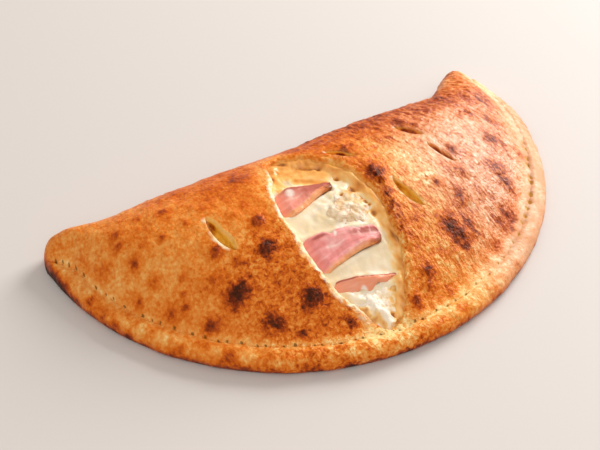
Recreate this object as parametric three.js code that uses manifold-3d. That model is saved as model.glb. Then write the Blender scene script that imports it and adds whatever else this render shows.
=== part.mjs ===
// A baked calzone: a round of pizza dough folded over a filling and sealed along its curved edge.
// Millimetres, +Z up. The fold runs along X at the back (+Y) and the sealed rim curves round the front (-Y).
// The crust is a hollow shell of dough with a flat base. An oval tear across its top shows the filling, and
// short slits let the steam out. The filling is one core of melted cheese that runs through the whole shell;
// slices of ham and lumps of ricotta lie in it where the tear shows them.
//
// Every outline is measured on sections: straight cuts that run from the rim, in front, to the fold, behind.
// A section is numbered s, from 0 at the left tip to 1 at the right tip, and c is the distance in from the rim.
import * as THREE from "three";
import { mergeVertices } from "three/addons/utils/BufferGeometryUtils.js";
import Module from "manifold-3d";

const wasm = await Module();
wasm.setup();

// ---- Driving dimensions ----
const ROUND_RADIUS = 155; // the dough round before it is folded
const ROUND_CENTRE = new THREE.Vector2(1.9, 68);
const LEFT_TIP_DEG = -92.3; // where the rim meets the tips, turned from the front of the round
const RIGHT_TIP_DEG = 93.6;
const RIGHT_TUCK = { depth: 9, startDeg: 70 }; // the right end of the rim is tucked in
const FOLD_Y = 62.2; // the back of the fold in the middle
const LEFT_FLARE = { reach: 21, from: 4.3, length: 147, power: 1.35 }; // the tips stick out behind the fold
const LEFT_EAR = { reach: 4, from: 112.7, length: 26 };
const RIGHT_FLARE = { reach: 22, from: 97.3, length: 44 };
const TIP_ROUND = { left: 12, right: 11 };

const HEIGHT = 46; // at the widest section
const WIDEST = 147;
const TAPER_POWER = 0.64; // how the height falls with the width of the section
const PEAK_AT = 0.62; // share of the way from the seam to the fold
const FRONT_POWER = 1.75;
const BACK_POWER = 2.3;
const FOLD_MIDDLE = 0.46; // share of the height at which the fold sticks out most

const RIM_MIDDLE = 4.6; // height at which the rim sticks out most
const RIM_TOP = 10.5;
const RIM_WIDTH = 6.5; // edge to the top of the rolled rim
const SEAM_IN = 12.2; // edge to the pressed seam on the left, less on the right
const SEAM_IN_RIGHT = 9.4;
const SEAM_HEIGHT = 8.6;
const RIM_WAVE = { depth: 0.5, pitch: 13, fullFrom: 60 }; // full depth on sections longer than this
// Towards the tips the rim and the seam shrink to these shares of the height or the length of the section.
const MOST = { rimMiddle: 0.42, rimTop: 0.8, seamHeight: 0.7, rimWidth: 0.3, seamIn: 0.45, sealIn: 0.5 };
const LEAST_SLANT = 0.35;
const RIM_UNDERCUT = 3.2; // the rim and the fold curl in under themselves before they meet the base
const FOLD_UNDERCUT = 0.8; // share of the height at which the fold sticks out most

const DOUGH = 5; // thickness of the crust over the filling
const SEAL_IN = 17; // edge to the filling
const BACK_DOUGH = 6; // thickness of the crust behind the filling
const CORE_LEAST = { width: 2, height: 0.6 }; // what is left of the filling towards the tips
const GAP = 0.3; // kept between neighbouring pieces

const TEAR = { x: -11.4, y: -13, halfWidth: 24.7, halfLength: 57.2, bow: -15.6, points: 50, ragged: 0.45 };
// Straightens the left side of the oval: shares of its size, as [cosine, sine] of one, two and three turns.
const TEAR_SHAPE = [
  [-0.046, 0.006],
  [0.03, 0.014],
  [-0.128, 0.007],
];
const SLITS = [
  { x: -75, y: 12.3, length: 26, width: 7.5, turnDeg: 8 },
  { x: 29.5, y: -15.6, length: 22.5, width: 8, turnDeg: 16 },
  { x: 65.6, y: 1.8, length: 18.5, width: 5.2, turnDeg: 25 },
  { x: 59.4, y: 24.4, length: 18, width: 5.2, turnDeg: 37 },
  { x: 13, y: 26.6, length: 19, width: 5.2, turnDeg: 40 },
];
const SLIT_STEPS = 7; // points on each side of a slit
const CUT = { depth: 7, sealedDepth: 2.6, lowest: 4, above: 12, sealed: { before: 4, over: 5 } };
const PRICKS = { count: 64, radius: 0.9, depth: 1.8, sides: 4, first: 0.03, last: 0.965, point: 0.25 };
// The largest blisters of the baked dough: the middle of each in the plan, and its radius.
const BLISTERS = [
  { x: -85, y: -19, radius: 10 },
  { x: -59, y: -8, radius: 9 },
  { x: -52, y: -42, radius: 8.5 },
  { x: -75, y: -41, radius: 9 },
  { x: -55, y: 7, radius: 6.5 },
  { x: -82, y: 6, radius: 6 },
  { x: -103, y: -22, radius: 8 },
  { x: -120, y: 29, radius: 7 },
  { x: -121, y: 49, radius: 8 },
  { x: -116, y: 14, radius: 6 },
  { x: 20, y: 3, radius: 7.5 },
  { x: 12, y: -56, radius: 8 },
  { x: 49, y: -17, radius: 6 },
  { x: 41, y: -44, radius: 10 },
  { x: 70, y: -46, radius: 8 },
  { x: 82, y: -43, radius: 7.5 },
  { x: 90, y: -12, radius: 7 },
  { x: 95, y: -25, radius: 6.5 },
  { x: 116, y: 8, radius: 7 },
  { x: 97, y: 22, radius: 7 },
];
const BLISTER_HEIGHT = 1.1;
const BLISTER_CLEAR = { seam: 15, fold: 25 }; // blisters fade out this far from the seam and the fold

// Each slice runs from its left end, under the crust, to its right end in the tear.
const HAM = [
  { name: "ham_slice_1", from: [-52, 15], to: [-5.5, 9.5], width: 21, tipWidth: 7, taperFrom: 0.35, rise: 1.0 },
  { name: "ham_slice_2", from: [-53, -21], to: [0.5, -28], width: 22, tipWidth: 11, taperFrom: 0.2, rise: 1.3 },
  { name: "ham_slice_3", from: [-50, -39.5], to: [-3, -51.8], width: 7, tipWidth: 2, taperFrom: 0.5, rise: 1.9 },
];
const HAM_THICKNESS = 2.4;
const HAM_TIP = { from: 0.92, blunt: 0.8 }; // the last share of a slice is rounded off, but not to a point
const HAM_RISES_OVER = 0.22; // share of the way into the tear over which a slice comes up
const HAM_SUNK = 1.9; // how far the slices dip into the filling under the crust
const HAM_WAVE = { side: 0.8, sideTurns: 7, height: 0.5, heightTurns: 11 };
const RICOTTA_SUNK = 2.2;
const RICOTTA_SLOPE = 0.75; // the share of the slope of the crust that the lumps follow
const CRUMBS = { waves: 7, fewest: 5, most: 11, depth: 0.16 };
const RICOTTA = [
  { name: "ricotta_1", x: -5.5, y: -7.5, half: [13, 14, 5], seed: 3 },
  { name: "ricotta_2", x: -21, y: -58, half: [17, 12, 4.8], seed: 7 },
];

const STEPS = { sections: 82, rim: 6, dome: 17, foldUnder: 4, base: 3, rimUnder: 3 };
const SPACING = { rim: 1.5, dome: 1.6, tips: 0.45 }; // how much closer the points stand towards each
const UNDER_AT_MOST = { fold: 0.3, rim: 0.2 }; // shares of the length of the section
const CORE_STEPS = { sections: 34, top: 11, base: 3, from: 0.035, to: 0.965 };
const RIM_WAY = 400; // about the length of the rim, of which the gap at each end of the filling is a share
const HAM_STEPS = { along: 17, across: 4 };
const RICOTTA_STEPS = { round: 22, rows: 9 };

// ---- Small helpers ----
const degrees = THREE.MathUtils.degToRad;
const clamp01 = (t) => Math.min(1, Math.max(0, t));
const smooth = (t) => clamp01(t) ** 2 * (3 - 2 * clamp01(t));
const mix = (a, b, t) => a + (b - a) * t;

// The same numbers each run: a small seeded generator.
function seeded(seed) {
  let state = seed;
  return () => {
    state = (state * 1664525 + 1013904223) >>> 0;
    return state / 4294967296;
  };
}

function solidFrom(points, faces) {
  const geometry = new THREE.BufferGeometry();
  geometry.setAttribute("position", new THREE.Float32BufferAttribute(points.flat(), 3));
  geometry.setIndex(faces.flat());
  const merged = mergeVertices(geometry, 1e-4);
  const mesh = new wasm.Mesh({
    numProp: 3,
    vertProperties: new Float32Array(merged.getAttribute("position").array),
    triVerts: new Uint32Array(merged.getIndex().array),
  });
  return new wasm.Manifold(mesh);
}

function meshFrom(name, solid, material) {
  const data = solid.getMesh();
  const geometry = new THREE.BufferGeometry();
  geometry.setAttribute("position", new THREE.BufferAttribute(new Float32Array(data.vertProperties), 3));
  geometry.setIndex(new THREE.BufferAttribute(new Uint32Array(data.triVerts), 1));
  geometry.computeVertexNormals();
  const mesh = new THREE.Mesh(geometry, material);
  mesh.name = name;
  return mesh;
}

// A closed skin over a row of rings that all have the same number of points. End rings are closed by a fan.
function loftFaces(ringCount, ringSize, firstPole, lastPole) {
  const faces = [];
  const at = (ring, k) => ring * ringSize + (k % ringSize);
  for (let ring = 0; ring + 1 < ringCount; ring++) {
    for (let k = 0; k < ringSize; k++) {
      faces.push([at(ring, k), at(ring, k + 1), at(ring + 1, k + 1)]);
      faces.push([at(ring, k), at(ring + 1, k + 1), at(ring + 1, k)]);
    }
  }
  for (let k = 0; k < ringSize; k++) {
    faces.push([firstPole, at(0, k + 1), at(0, k)]);
    faces.push([lastPole, at(ringCount - 1, k), at(ringCount - 1, k + 1)]);
  }
  return faces;
}

function loft(rings) {
  const size = rings[0].length;
  const middle = (ring) => [0, 1, 2].map((axis) => ring.reduce((sum, p) => sum + p[axis], 0) / size);
  const points = [...rings.flat(), middle(rings[0]), middle(rings[rings.length - 1])];
  const pole = rings.length * size;
  return solidFrom(points, loftFaces(rings.length, size, pole, pole + 1));
}

// ---- The plan of the calzone ----
function rimPoint(s) {
  const turn = mix(LEFT_TIP_DEG, RIGHT_TIP_DEG, s);
  const tucked = clamp01((turn - RIGHT_TUCK.startDeg) / (RIGHT_TIP_DEG - RIGHT_TUCK.startDeg));
  const radius = ROUND_RADIUS - RIGHT_TUCK.depth * tucked ** 2;
  const angle = degrees(turn);
  return new THREE.Vector2(Math.sin(angle), -Math.cos(angle)).multiplyScalar(radius).add(ROUND_CENTRE);
}

const LEFT_TIP = rimPoint(0);
const RIGHT_TIP = rimPoint(1);

function backEdge(x) {
  const left = LEFT_FLARE.reach * clamp01((LEFT_FLARE.from - x) / LEFT_FLARE.length) ** LEFT_FLARE.power;
  const ear = LEFT_EAR.reach * smooth((-x - LEFT_EAR.from) / LEFT_EAR.length);
  const right = RIGHT_FLARE.reach * smooth((x - RIGHT_FLARE.from) / RIGHT_FLARE.length);
  return FOLD_Y + left + ear + right;
}

// The back edge, turned down to each tip in a quarter of an ellipse.
function foldPoint(s) {
  const x = mix(LEFT_TIP.x, RIGHT_TIP.x, s);
  const quarter = (distance, radius) => Math.sqrt(1 - (1 - clamp01(distance / radius)) ** 2);
  const fromLeft = mix(LEFT_TIP.y, backEdge(x), quarter(x - LEFT_TIP.x, TIP_ROUND.left));
  return new THREE.Vector2(x, mix(RIGHT_TIP.y, fromLeft, quarter(RIGHT_TIP.x - x, TIP_ROUND.right)));
}

// Everything that a section needs: where it runs, how long it is, and the sizes of its rim and fold there.
function sectionAt(s) {
  const rim = rimPoint(s);
  const fold = foldPoint(s);
  const along = fold.clone().sub(rim);
  const length = Math.max(along.length(), 1e-3);
  along.divideScalar(length);
  const inward = ROUND_CENTRE.clone().sub(rim).normalize();
  // A slanted section crosses the rim over a longer way.
  const slant = 1 / Math.max(inward.dot(along), LEAST_SLANT);
  const height = HEIGHT * (length / WIDEST) ** TAPER_POWER;
  return {
    s,
    rim,
    along,
    length,
    height,
    rimMiddle: Math.min(RIM_MIDDLE, MOST.rimMiddle * height),
    rimTop: Math.min(RIM_TOP, MOST.rimTop * height),
    seamHeight: Math.min(SEAM_HEIGHT, MOST.seamHeight * height),
    rimWidth: Math.min(RIM_WIDTH * slant, MOST.rimWidth * length),
    seamIn: Math.min(mix(SEAM_IN, SEAM_IN_RIGHT, s) * slant, MOST.seamIn * length),
    sealIn: Math.min(SEAL_IN * slant, MOST.sealIn * length),
    foldMiddle: FOLD_MIDDLE * height,
  };
}

// Height of the top of the crust at the distance c in from the rim.
function topHeight(section, c) {
  if (c < section.seamIn) {
    const edge = 1 - Math.min(c, section.rimWidth) / section.rimWidth;
    const roll = mix(section.rimMiddle, section.rimTop, Math.sqrt(1 - edge ** 2));
    const fall = smooth((c - section.rimWidth) / (section.seamIn - section.rimWidth));
    return roll - (section.rimTop - section.seamHeight) * fall;
  }
  const t = Math.min(1, (c - section.seamIn) / (section.length - section.seamIn));
  if (t < PEAK_AT) return mix(section.height, section.seamHeight, (1 - t / PEAK_AT) ** FRONT_POWER);
  const back = (t - PEAK_AT) / (1 - PEAK_AT);
  return mix(section.foldMiddle, section.height, Math.sqrt(1 - back ** BACK_POWER));
}

// The point of the plan at the distance c along a section.
const planPoint = (section, c) => [section.rim.x + section.along.x * c, section.rim.y + section.along.y * c];

// The section through a point of the plan, found by halving the way between the tips.
function sectionThrough(x, y) {
  let low = 0;
  let high = 1;
  for (let step = 0; step < 30; step++) {
    const middle = (low + high) / 2;
    const rim = rimPoint(middle);
    const fold = foldPoint(middle);
    const side = (fold.x - rim.x) * (y - rim.y) - (fold.y - rim.y) * (x - rim.x);
    if (side < 0) low = middle;
    else high = middle;
  }
  return sectionAt((low + high) / 2);
}

function crustHeight(x, y) {
  const section = sectionThrough(x, y);
  const c = Math.hypot(x - section.rim.x, y - section.rim.y);
  return topHeight(section, Math.min(c, section.length));
}

// ---- Relief of the baked surface ----
function blisterHeight(x, y) {
  return BLISTERS.reduce((sum, blister) => {
    const distance = Math.hypot(x - blister.x, y - blister.y) / blister.radius;
    return sum + BLISTER_HEIGHT * Math.exp(-(distance ** 2));
  }, 0);
}

function relief(section, c) {
  const [x, y] = planPoint(section, c);
  const onDome =
    smooth((c - section.seamIn) / BLISTER_CLEAR.seam) * smooth((section.length - c) / BLISTER_CLEAR.fold);
  const nearRim = 1 - smooth((c - section.rimWidth) / (section.seamIn - section.rimWidth));
  const rimLength = ROUND_RADIUS * degrees(RIGHT_TIP_DEG - LEFT_TIP_DEG) * section.s;
  const wave = RIM_WAVE.depth * Math.sin((2 * Math.PI * rimLength) / RIM_WAVE.pitch);
  const rimEdge = smooth(c / section.rimWidth) * smooth(section.length / RIM_WAVE.fullFrom);
  return onDome * blisterHeight(x, y) + nearRim * rimEdge * wave;
}

// ---- The outer skin of the crust ----
// One closed ring: over the top from rim to fold, under the fold, along the base and up under the rim.
function crustRing(s) {
  const section = sectionAt(s);
  const { length, seamIn, foldMiddle, rimMiddle } = section;
  const ring = [];
  const put = (c, z) => ring.push([...planPoint(section, c), z]);
  for (let k = 0; k < STEPS.rim; k++) {
    const c = seamIn * (k / STEPS.rim) ** SPACING.rim;
    put(c, topHeight(section, c) + relief(section, c));
  }
  for (let k = 0; k < STEPS.dome; k++) {
    const c = mix(seamIn, length, 1 - (1 - k / STEPS.dome) ** SPACING.dome);
    put(c, topHeight(section, c) + relief(section, c));
  }
  const foldIn = Math.min(FOLD_UNDERCUT * foldMiddle, UNDER_AT_MOST.fold * length);
  for (let k = 0; k < STEPS.foldUnder; k++) {
    const angle = (Math.PI / 2) * (k / STEPS.foldUnder);
    put(length - foldIn * (1 - Math.cos(angle)), foldMiddle * (1 - Math.sin(angle)));
  }
  const rimIn = Math.min(RIM_UNDERCUT, UNDER_AT_MOST.rim * length);
  for (let k = 0; k < STEPS.base; k++) put(mix(length - foldIn, rimIn, k / STEPS.base), 0);
  for (let k = 0; k < STEPS.rimUnder; k++) {
    const angle = (Math.PI / 2) * (k / STEPS.rimUnder);
    put(rimIn * (1 - Math.sin(angle)), rimMiddle * (1 - Math.cos(angle)));
  }
  return ring.reverse();
}

// Sections stand closer together at the tips.
function sectionNumber(k, count) {
  const even = (k + 0.5) / count;
  return mix(even, (1 - Math.cos(Math.PI * even)) / 2, SPACING.tips);
}

function crustSkin() {
  return loft(Array.from({ length: STEPS.sections }, (_, k) => crustRing(sectionNumber(k, STEPS.sections))));
}

// ---- The core: the hollow of the crust, and the filling a gap smaller ----
function coreRing(s, gap) {
  const section = sectionAt(s);
  const near = section.sealIn + gap;
  const far = Math.max(section.length - BACK_DOUGH - gap, near + CORE_LEAST.width);
  const floor = DOUGH + gap;
  const ring = [];
  const put = (c, z) => ring.push([...planPoint(section, c), z]);
  for (let k = 0; k <= CORE_STEPS.top; k++) {
    const c = mix(near, far, k / CORE_STEPS.top);
    const underCrust = topHeight(section, Math.min(c, section.length)) - DOUGH - gap;
    put(c, Math.max(floor + CORE_LEAST.height, underCrust));
  }
  for (let k = 1; k <= CORE_STEPS.base; k++) put(mix(far, near, k / CORE_STEPS.base), floor);
  return ring.reverse();
}

function core(gap) {
  const shrink = gap / RIM_WAY;
  const rings = Array.from({ length: CORE_STEPS.sections }, (_, k) => {
    const s = mix(CORE_STEPS.from + shrink, CORE_STEPS.to - shrink, k / (CORE_STEPS.sections - 1));
    return coreRing(s, gap);
  });
  return loft(rings);
}

// ---- Openings in the crust ----
// A drum stands on a closed outline, from zLow(x, y) up to the height zHigh.
function drum(outline, zLow, zHigh, shares) {
  const cx = outline.reduce((sum, p) => sum + p[0], 0) / outline.length;
  const cy = outline.reduce((sum, p) => sum + p[1], 0) / outline.length;
  const scaled = (share) => outline.map(([x, y]) => [mix(cx, x, share), mix(cy, y, share)]);
  const rings = shares.map((share) => scaled(share).map(([x, y]) => [x, y, zLow(x, y)]));
  rings.push(outline.map(([x, y]) => [x, y, zHigh]));
  return loft(rings);
}

// The tear: an oval with an uneven edge, bowed so that both its ends lie a little to the left.
const tearShape = (angle) =>
  TEAR_SHAPE.reduce((sum, [c, d], k) => sum + c * Math.cos((k + 1) * angle) + d * Math.sin((k + 1) * angle), 1);

function tearOutline(inset) {
  return Array.from({ length: TEAR.points }, (_, k) => {
    const angle = (2 * Math.PI * k) / TEAR.points;
    const shape = tearShape(angle);
    const uneven = TEAR.ragged * (Math.sin(5 * angle) + 0.6 * Math.sin(11 * angle + 1));
    const bow = TEAR.bow * (shape * Math.sin(angle)) ** 2;
    const x = (TEAR.halfWidth * shape - inset + uneven) * Math.cos(angle);
    const y = (TEAR.halfLength * shape - inset + uneven) * Math.sin(angle);
    return [TEAR.x + bow + x, TEAR.y + y];
  });
}

// The openings are cut right through the dough over the filling, and stay shallow where the dough is sealed.
function cutFloor(x, y) {
  const section = sectionThrough(x, y);
  const c = Math.hypot(x - section.rim.x, y - section.rim.y);
  const open = smooth((c - section.sealIn + CUT.sealed.before) / CUT.sealed.over);
  const depth = mix(CUT.sealedDepth, CUT.depth, open);
  return Math.max(topHeight(section, Math.min(c, section.length)) - depth, CUT.lowest);
}

const ABOVE = HEIGHT + CUT.above;
const DRUM_SHARES = [0.25, 0.5, 0.75, 1];

// A slit is a lens: two shallow curves that meet in a point.
function slitOutline(slit) {
  const turn = degrees(slit.turnDeg);
  const side = (sign) =>
    Array.from({ length: SLIT_STEPS }, (_, k) => {
      const t = -1 + (2 * k) / SLIT_STEPS;
      const along = (-sign * t * slit.length) / 2;
      const across = (sign * slit.width * (1 - t ** 2)) / 2;
      return [
        slit.x + along * Math.sin(turn) + across * Math.cos(turn),
        slit.y - along * Math.cos(turn) + across * Math.sin(turn),
      ];
    });
  return [...side(1), ...side(-1)];
}

// A fork prick is a small cone that points down into the seam.
function prick(s) {
  const section = sectionAt(s);
  const [x, y] = planPoint(section, section.seamIn);
  const z = topHeight(section, section.seamIn);
  const ring = (radius, height) =>
    Array.from({ length: PRICKS.sides }, (_, k) => {
      const angle = (2 * Math.PI * k) / PRICKS.sides;
      return [x + radius * Math.cos(angle), y + radius * Math.sin(angle), height];
    });
  const { radius, depth, point } = PRICKS;
  return loft([ring(point * radius, z - depth), ring(radius, z), ring(radius, z + depth)]);
}

// ---- Ham and ricotta ----
const insideTear = (x, y) => {
  const dy = (y - TEAR.y) / TEAR.halfLength;
  const dx = (x - TEAR.x - TEAR.bow * dy ** 2) / TEAR.halfWidth;
  return 1 - Math.hypot(dx, dy) / tearShape(Math.atan2(dy, dx));
};

// A thin wavy strip that dips under the crust and rises in the tear. Its two faces are split into triangles alike.
function hamSlice(ham, gap) {
  const { along, across } = HAM_STEPS;
  const [x0, y0] = ham.from;
  const [x1, y1] = ham.to;
  const reach = Math.hypot(x1 - x0, y1 - y0);
  const dir = [(x1 - x0) / reach, (y1 - y0) / reach];
  const rings = [];
  for (let i = 0; i <= along; i++) {
    const a = mix(-gap, reach + gap, i / along);
    const share = clamp01(a / reach);
    const atTip = clamp01((share - HAM_TIP.from) / (1 - HAM_TIP.from));
    const tipRound = Math.sqrt(1 - HAM_TIP.blunt * atTip ** 2);
    const taper = smooth((share - ham.taperFrom) / (1 - ham.taperFrom));
    const width = mix(ham.width, ham.tipWidth, taper) * tipRound + 2 * gap;
    const wander = HAM_WAVE.side * Math.sin(share * HAM_WAVE.sideTurns + ham.width);
    const row = (face) =>
      Array.from({ length: across + 1 }, (_, j) => {
        const b = (j / across - 0.5) * width + wander;
        const x = x0 + dir[0] * a - dir[1] * b;
        const y = y0 + dir[1] * a + dir[0] * b;
        const shown = smooth(insideTear(x, y) / HAM_RISES_OVER);
        const fold = HAM_WAVE.height * Math.sin(share * HAM_WAVE.heightTurns + j) * shown;
        const middle = crustHeight(x, y) - DOUGH - GAP + mix(-HAM_SUNK, ham.rise, shown) + fold;
        return [x, y, middle + face * (HAM_THICKNESS / 2 + gap)];
      });
    rings.push([...row(-1), ...row(1).reverse()]);
  }
  return loft(rings);
}

// A lump of curd: a flattened ball whose surface is broken into crumbs.
function ricottaLump(lump, gap) {
  const random = seeded(lump.seed);
  const waves = Array.from({ length: CRUMBS.waves }, () => ({
    direction: new THREE.Vector3(random() - 0.5, random() - 0.5, random() - 0.5).normalize(),
    count: mix(CRUMBS.fewest, CRUMBS.most, random()),
    shift: 2 * Math.PI * random(),
  }));
  const crustOver = crustHeight(lump.x, lump.y);
  const middle = crustOver - DOUGH - RICOTTA_SUNK;
  const { round, rows } = RICOTTA_STEPS;
  const point = (row, column) => {
    const polar = (Math.PI * (row + 0.5)) / rows;
    const turn = (2 * Math.PI * column) / round;
    const n = new THREE.Vector3().setFromSphericalCoords(1, polar, turn);
    const crumbs = waves.reduce((sum, w) => sum + Math.sin(n.dot(w.direction) * w.count + w.shift), 0);
    const size = 1 + (CRUMBS.depth * crumbs) / CRUMBS.waves;
    const [hx, hy, hz] = lump.half.map((half) => half * size + gap);
    const x = lump.x + n.z * hx;
    const y = lump.y + n.x * hy;
    return [x, y, middle + n.y * hz + RICOTTA_SLOPE * (crustHeight(x, y) - crustOver)];
  };
  const ring = (row) => Array.from({ length: round }, (_, k) => point(row, k));
  return loft(Array.from({ length: rows }, (_, row) => ring(row)).reverse());
}

// ---- Putting it together ----
const tear = drum(tearOutline(0), cutFloor, ABOVE, DRUM_SHARES);
const insideOfTear = drum(tearOutline(2 * GAP), (x, y) => cutFloor(x, y) + 3 * GAP, ABOVE, DRUM_SHARES);
const slits = SLITS.map((slit) => drum(slitOutline(slit), cutFloor, ABOVE, [1]));
const pricks = Array.from({ length: PRICKS.count }, (_, k) =>
  prick(mix(PRICKS.first, PRICKS.last, k / (PRICKS.count - 1))),
);

let crust = crustSkin().subtract(core(0)).subtract(tear);
for (const slit of slits) crust = crust.subtract(slit);
for (const hole of pricks) crust = crust.subtract(hole);

const hams = HAM.map((ham) => hamSlice(ham, 0));
const hamRooms = HAM.map((ham) => hamSlice(ham, GAP));
let filling = core(GAP);
for (const room of hamRooms) filling = filling.subtract(room);

const ricottas = RICOTTA.map((lump) => {
  let solid = ricottaLump(lump, 0).intersect(insideOfTear);
  for (const room of hamRooms) solid = solid.subtract(room);
  return solid;
});
for (const lump of RICOTTA) filling = filling.subtract(ricottaLump(lump, GAP).intersect(tear));

// Booleans can leave loose scraps: the largest body is the piece.
const largest = (solid) => solid.decompose().sort((a, b) => b.volume() - a.volume())[0];

const crustMaterial = new THREE.MeshStandardMaterial({ color: 0xd08a48, roughness: 0.55, metalness: 0 });
const cheeseMaterial = new THREE.MeshStandardMaterial({ color: 0xf1dfa8, roughness: 0.35, metalness: 0 });
const hamMaterial = new THREE.MeshStandardMaterial({ color: 0xe39a96, roughness: 0.4, metalness: 0 });
const ricottaMaterial = new THREE.MeshStandardMaterial({ color: 0xf7efe0, roughness: 0.6, metalness: 0 });

const calzone = new THREE.Group();
calzone.add(meshFrom("crust", largest(crust), crustMaterial));
calzone.add(meshFrom("cheese_filling", largest(filling), cheeseMaterial));
HAM.forEach((ham, k) => calzone.add(meshFrom(ham.name, largest(hams[k]), hamMaterial)));
RICOTTA.forEach((lump, k) => calzone.add(meshFrom(lump.name, largest(ricottas[k]), ricottaMaterial)));

export default calzone;
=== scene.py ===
# %% [markdown]
# # A baked calzone
# A calzone is a round of pizza dough that is folded over a filling, sealed along its curved edge and
# baked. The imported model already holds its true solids. This script gives each of them the surface that
# the oven gave the real one: a blistered crust with a pricked seam, melted cheese, ham and crumbly
# ricotta.

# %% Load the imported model
import itertools
from functools import partial
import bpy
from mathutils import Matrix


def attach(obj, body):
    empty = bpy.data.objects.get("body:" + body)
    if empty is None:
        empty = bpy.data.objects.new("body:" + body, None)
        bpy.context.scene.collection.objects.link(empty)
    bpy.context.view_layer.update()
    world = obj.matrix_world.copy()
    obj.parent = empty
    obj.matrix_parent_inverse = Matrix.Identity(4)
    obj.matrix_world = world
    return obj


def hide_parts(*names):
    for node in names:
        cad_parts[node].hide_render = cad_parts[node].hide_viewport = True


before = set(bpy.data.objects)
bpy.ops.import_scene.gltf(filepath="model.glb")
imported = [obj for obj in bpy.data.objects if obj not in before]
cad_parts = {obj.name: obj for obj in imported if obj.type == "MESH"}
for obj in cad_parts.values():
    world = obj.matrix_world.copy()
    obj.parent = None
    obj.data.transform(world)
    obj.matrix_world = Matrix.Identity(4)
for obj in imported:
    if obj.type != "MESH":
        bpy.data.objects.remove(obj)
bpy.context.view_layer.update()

from types import SimpleNamespace

import bpy
import numpy as np
from mathutils import Vector

print("nodes:", sorted(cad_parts))

# %% [markdown]
# ## The plan and the sections
# Everything on the calzone is laid out on sections: straight cuts that run from the rim, in front, to the
# fold, behind. One number, s, says which section (0 at the left tip, 1 at the right tip), and one length,
# c, says how far in from the rim. A dough round could also be modelled by hand with a sculpting brush,
# but with s and c each detail, from the row of fork pricks to the blisters, has an address that can be
# worked out. All sizes are in millimetres, and only the last step turns them into Blender's metres.

# %% Sizes of the dough, in millimetres
MM = 0.001
# the dough round, the angles at which its edge ends in a tip, and the tuck at the right one
ROUND_RADIUS, ROUND_X, ROUND_Y = 155.0, 1.9, 68.0
LEFT_TIP_DEG, RIGHT_TIP_DEG = -92.3, 93.6
RIGHT_TUCK, RIGHT_TUCK_FROM_DEG = 9.0, 70.0
FOLD_Y = 62.2
# the longest section and its height, and how the height falls with the length
HEIGHT, WIDEST, TAPER_POWER = 46.0, 147.0, 0.64
# where the dome peaks, how steep it is before and behind, and where the fold bulges, in shares of the height
PEAK_AT, FRONT_POWER, BACK_POWER, FOLD_MIDDLE = 0.62, 1.75, 2.3, 0.46
# the rolled rim and the seam behind it
RIM_MIDDLE, RIM_TOP, RIM_WIDTH = 4.6, 10.5, 6.5
SEAM_IN, SEAM_IN_RIGHT, SEAM_HEIGHT = 12.2, 9.4, 8.6
# how far the rim is undercut, and the fold in shares of the height at which it bulges
RIM_UNDERCUT, FOLD_UNDERCUT = 3.2, 0.8
# thickness of the dough, where the seal ends, and the gap between neighbouring pieces
DOUGH, BACK_DOUGH, SEAL_IN, GAP = 5.0, 6.0, 17.0, 0.3
RIM_LENGTH = ROUND_RADIUS * np.radians(RIGHT_TIP_DEG - LEFT_TIP_DEG)
print("length of the rim:", round(float(RIM_LENGTH)), "mm")


# %% The outline of the dough
def smooth(t):
    """Ease from 0 to 1: three t squared minus two t cubed, held at 0 and 1 outside."""
    t = np.clip(t, 0, 1)
    return t * t * (3 - 2 * t)


def mix(a, b, t):
    """a plus the share t of the way to b."""
    return a + (b - a) * t


def fade(distance, reach):
    """A bell: 1 at no distance, about a third at the reach and 0 well beyond it."""
    return np.exp(-((distance / reach) ** 2))


def rim_point(s):
    """A point on the edge of the dough round, which shrinks a little where the right end is tucked in."""
    turn = mix(LEFT_TIP_DEG, RIGHT_TIP_DEG, s)
    tucked = np.clip((turn - RIGHT_TUCK_FROM_DEG) / (RIGHT_TIP_DEG - RIGHT_TUCK_FROM_DEG), 0, 1)
    radius = ROUND_RADIUS - RIGHT_TUCK * tucked**2
    angle = np.radians(turn)
    return np.stack([ROUND_X + radius * np.sin(angle), ROUND_Y - radius * np.cos(angle)], -1)


def back_edge(x):
    """The fold is straight in the middle and swings back to both tips."""
    left = 21 * np.clip((4.3 - x) / 147, 0, 1) ** 1.35 + 4 * smooth((-x - 112.7) / 26)
    return FOLD_Y + left + 22 * smooth((x - 97.3) / 44)


def fold_point(s):
    """A point on the fold, turned down to each tip in a quarter of an ellipse."""
    left, right = rim_point(np.array(0.0)), rim_point(np.array(1.0))
    x = mix(left[0], right[0], s)
    y = back_edge(x)
    for tip, distance, radius in ((left, x - left[0], 12.0), (right, right[0] - x, 11.0)):
        quarter = np.sqrt(1 - (1 - np.clip(distance / radius, 0, 1)) ** 2)
        y = mix(tip[1], y, quarter)
    return np.stack([x, y], -1)


left_tip, right_tip = rim_point(np.array([0.0, 1.0]))
print("from tip to tip:", round(float(right_tip[0] - left_tip[0]), 1), "mm")


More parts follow.
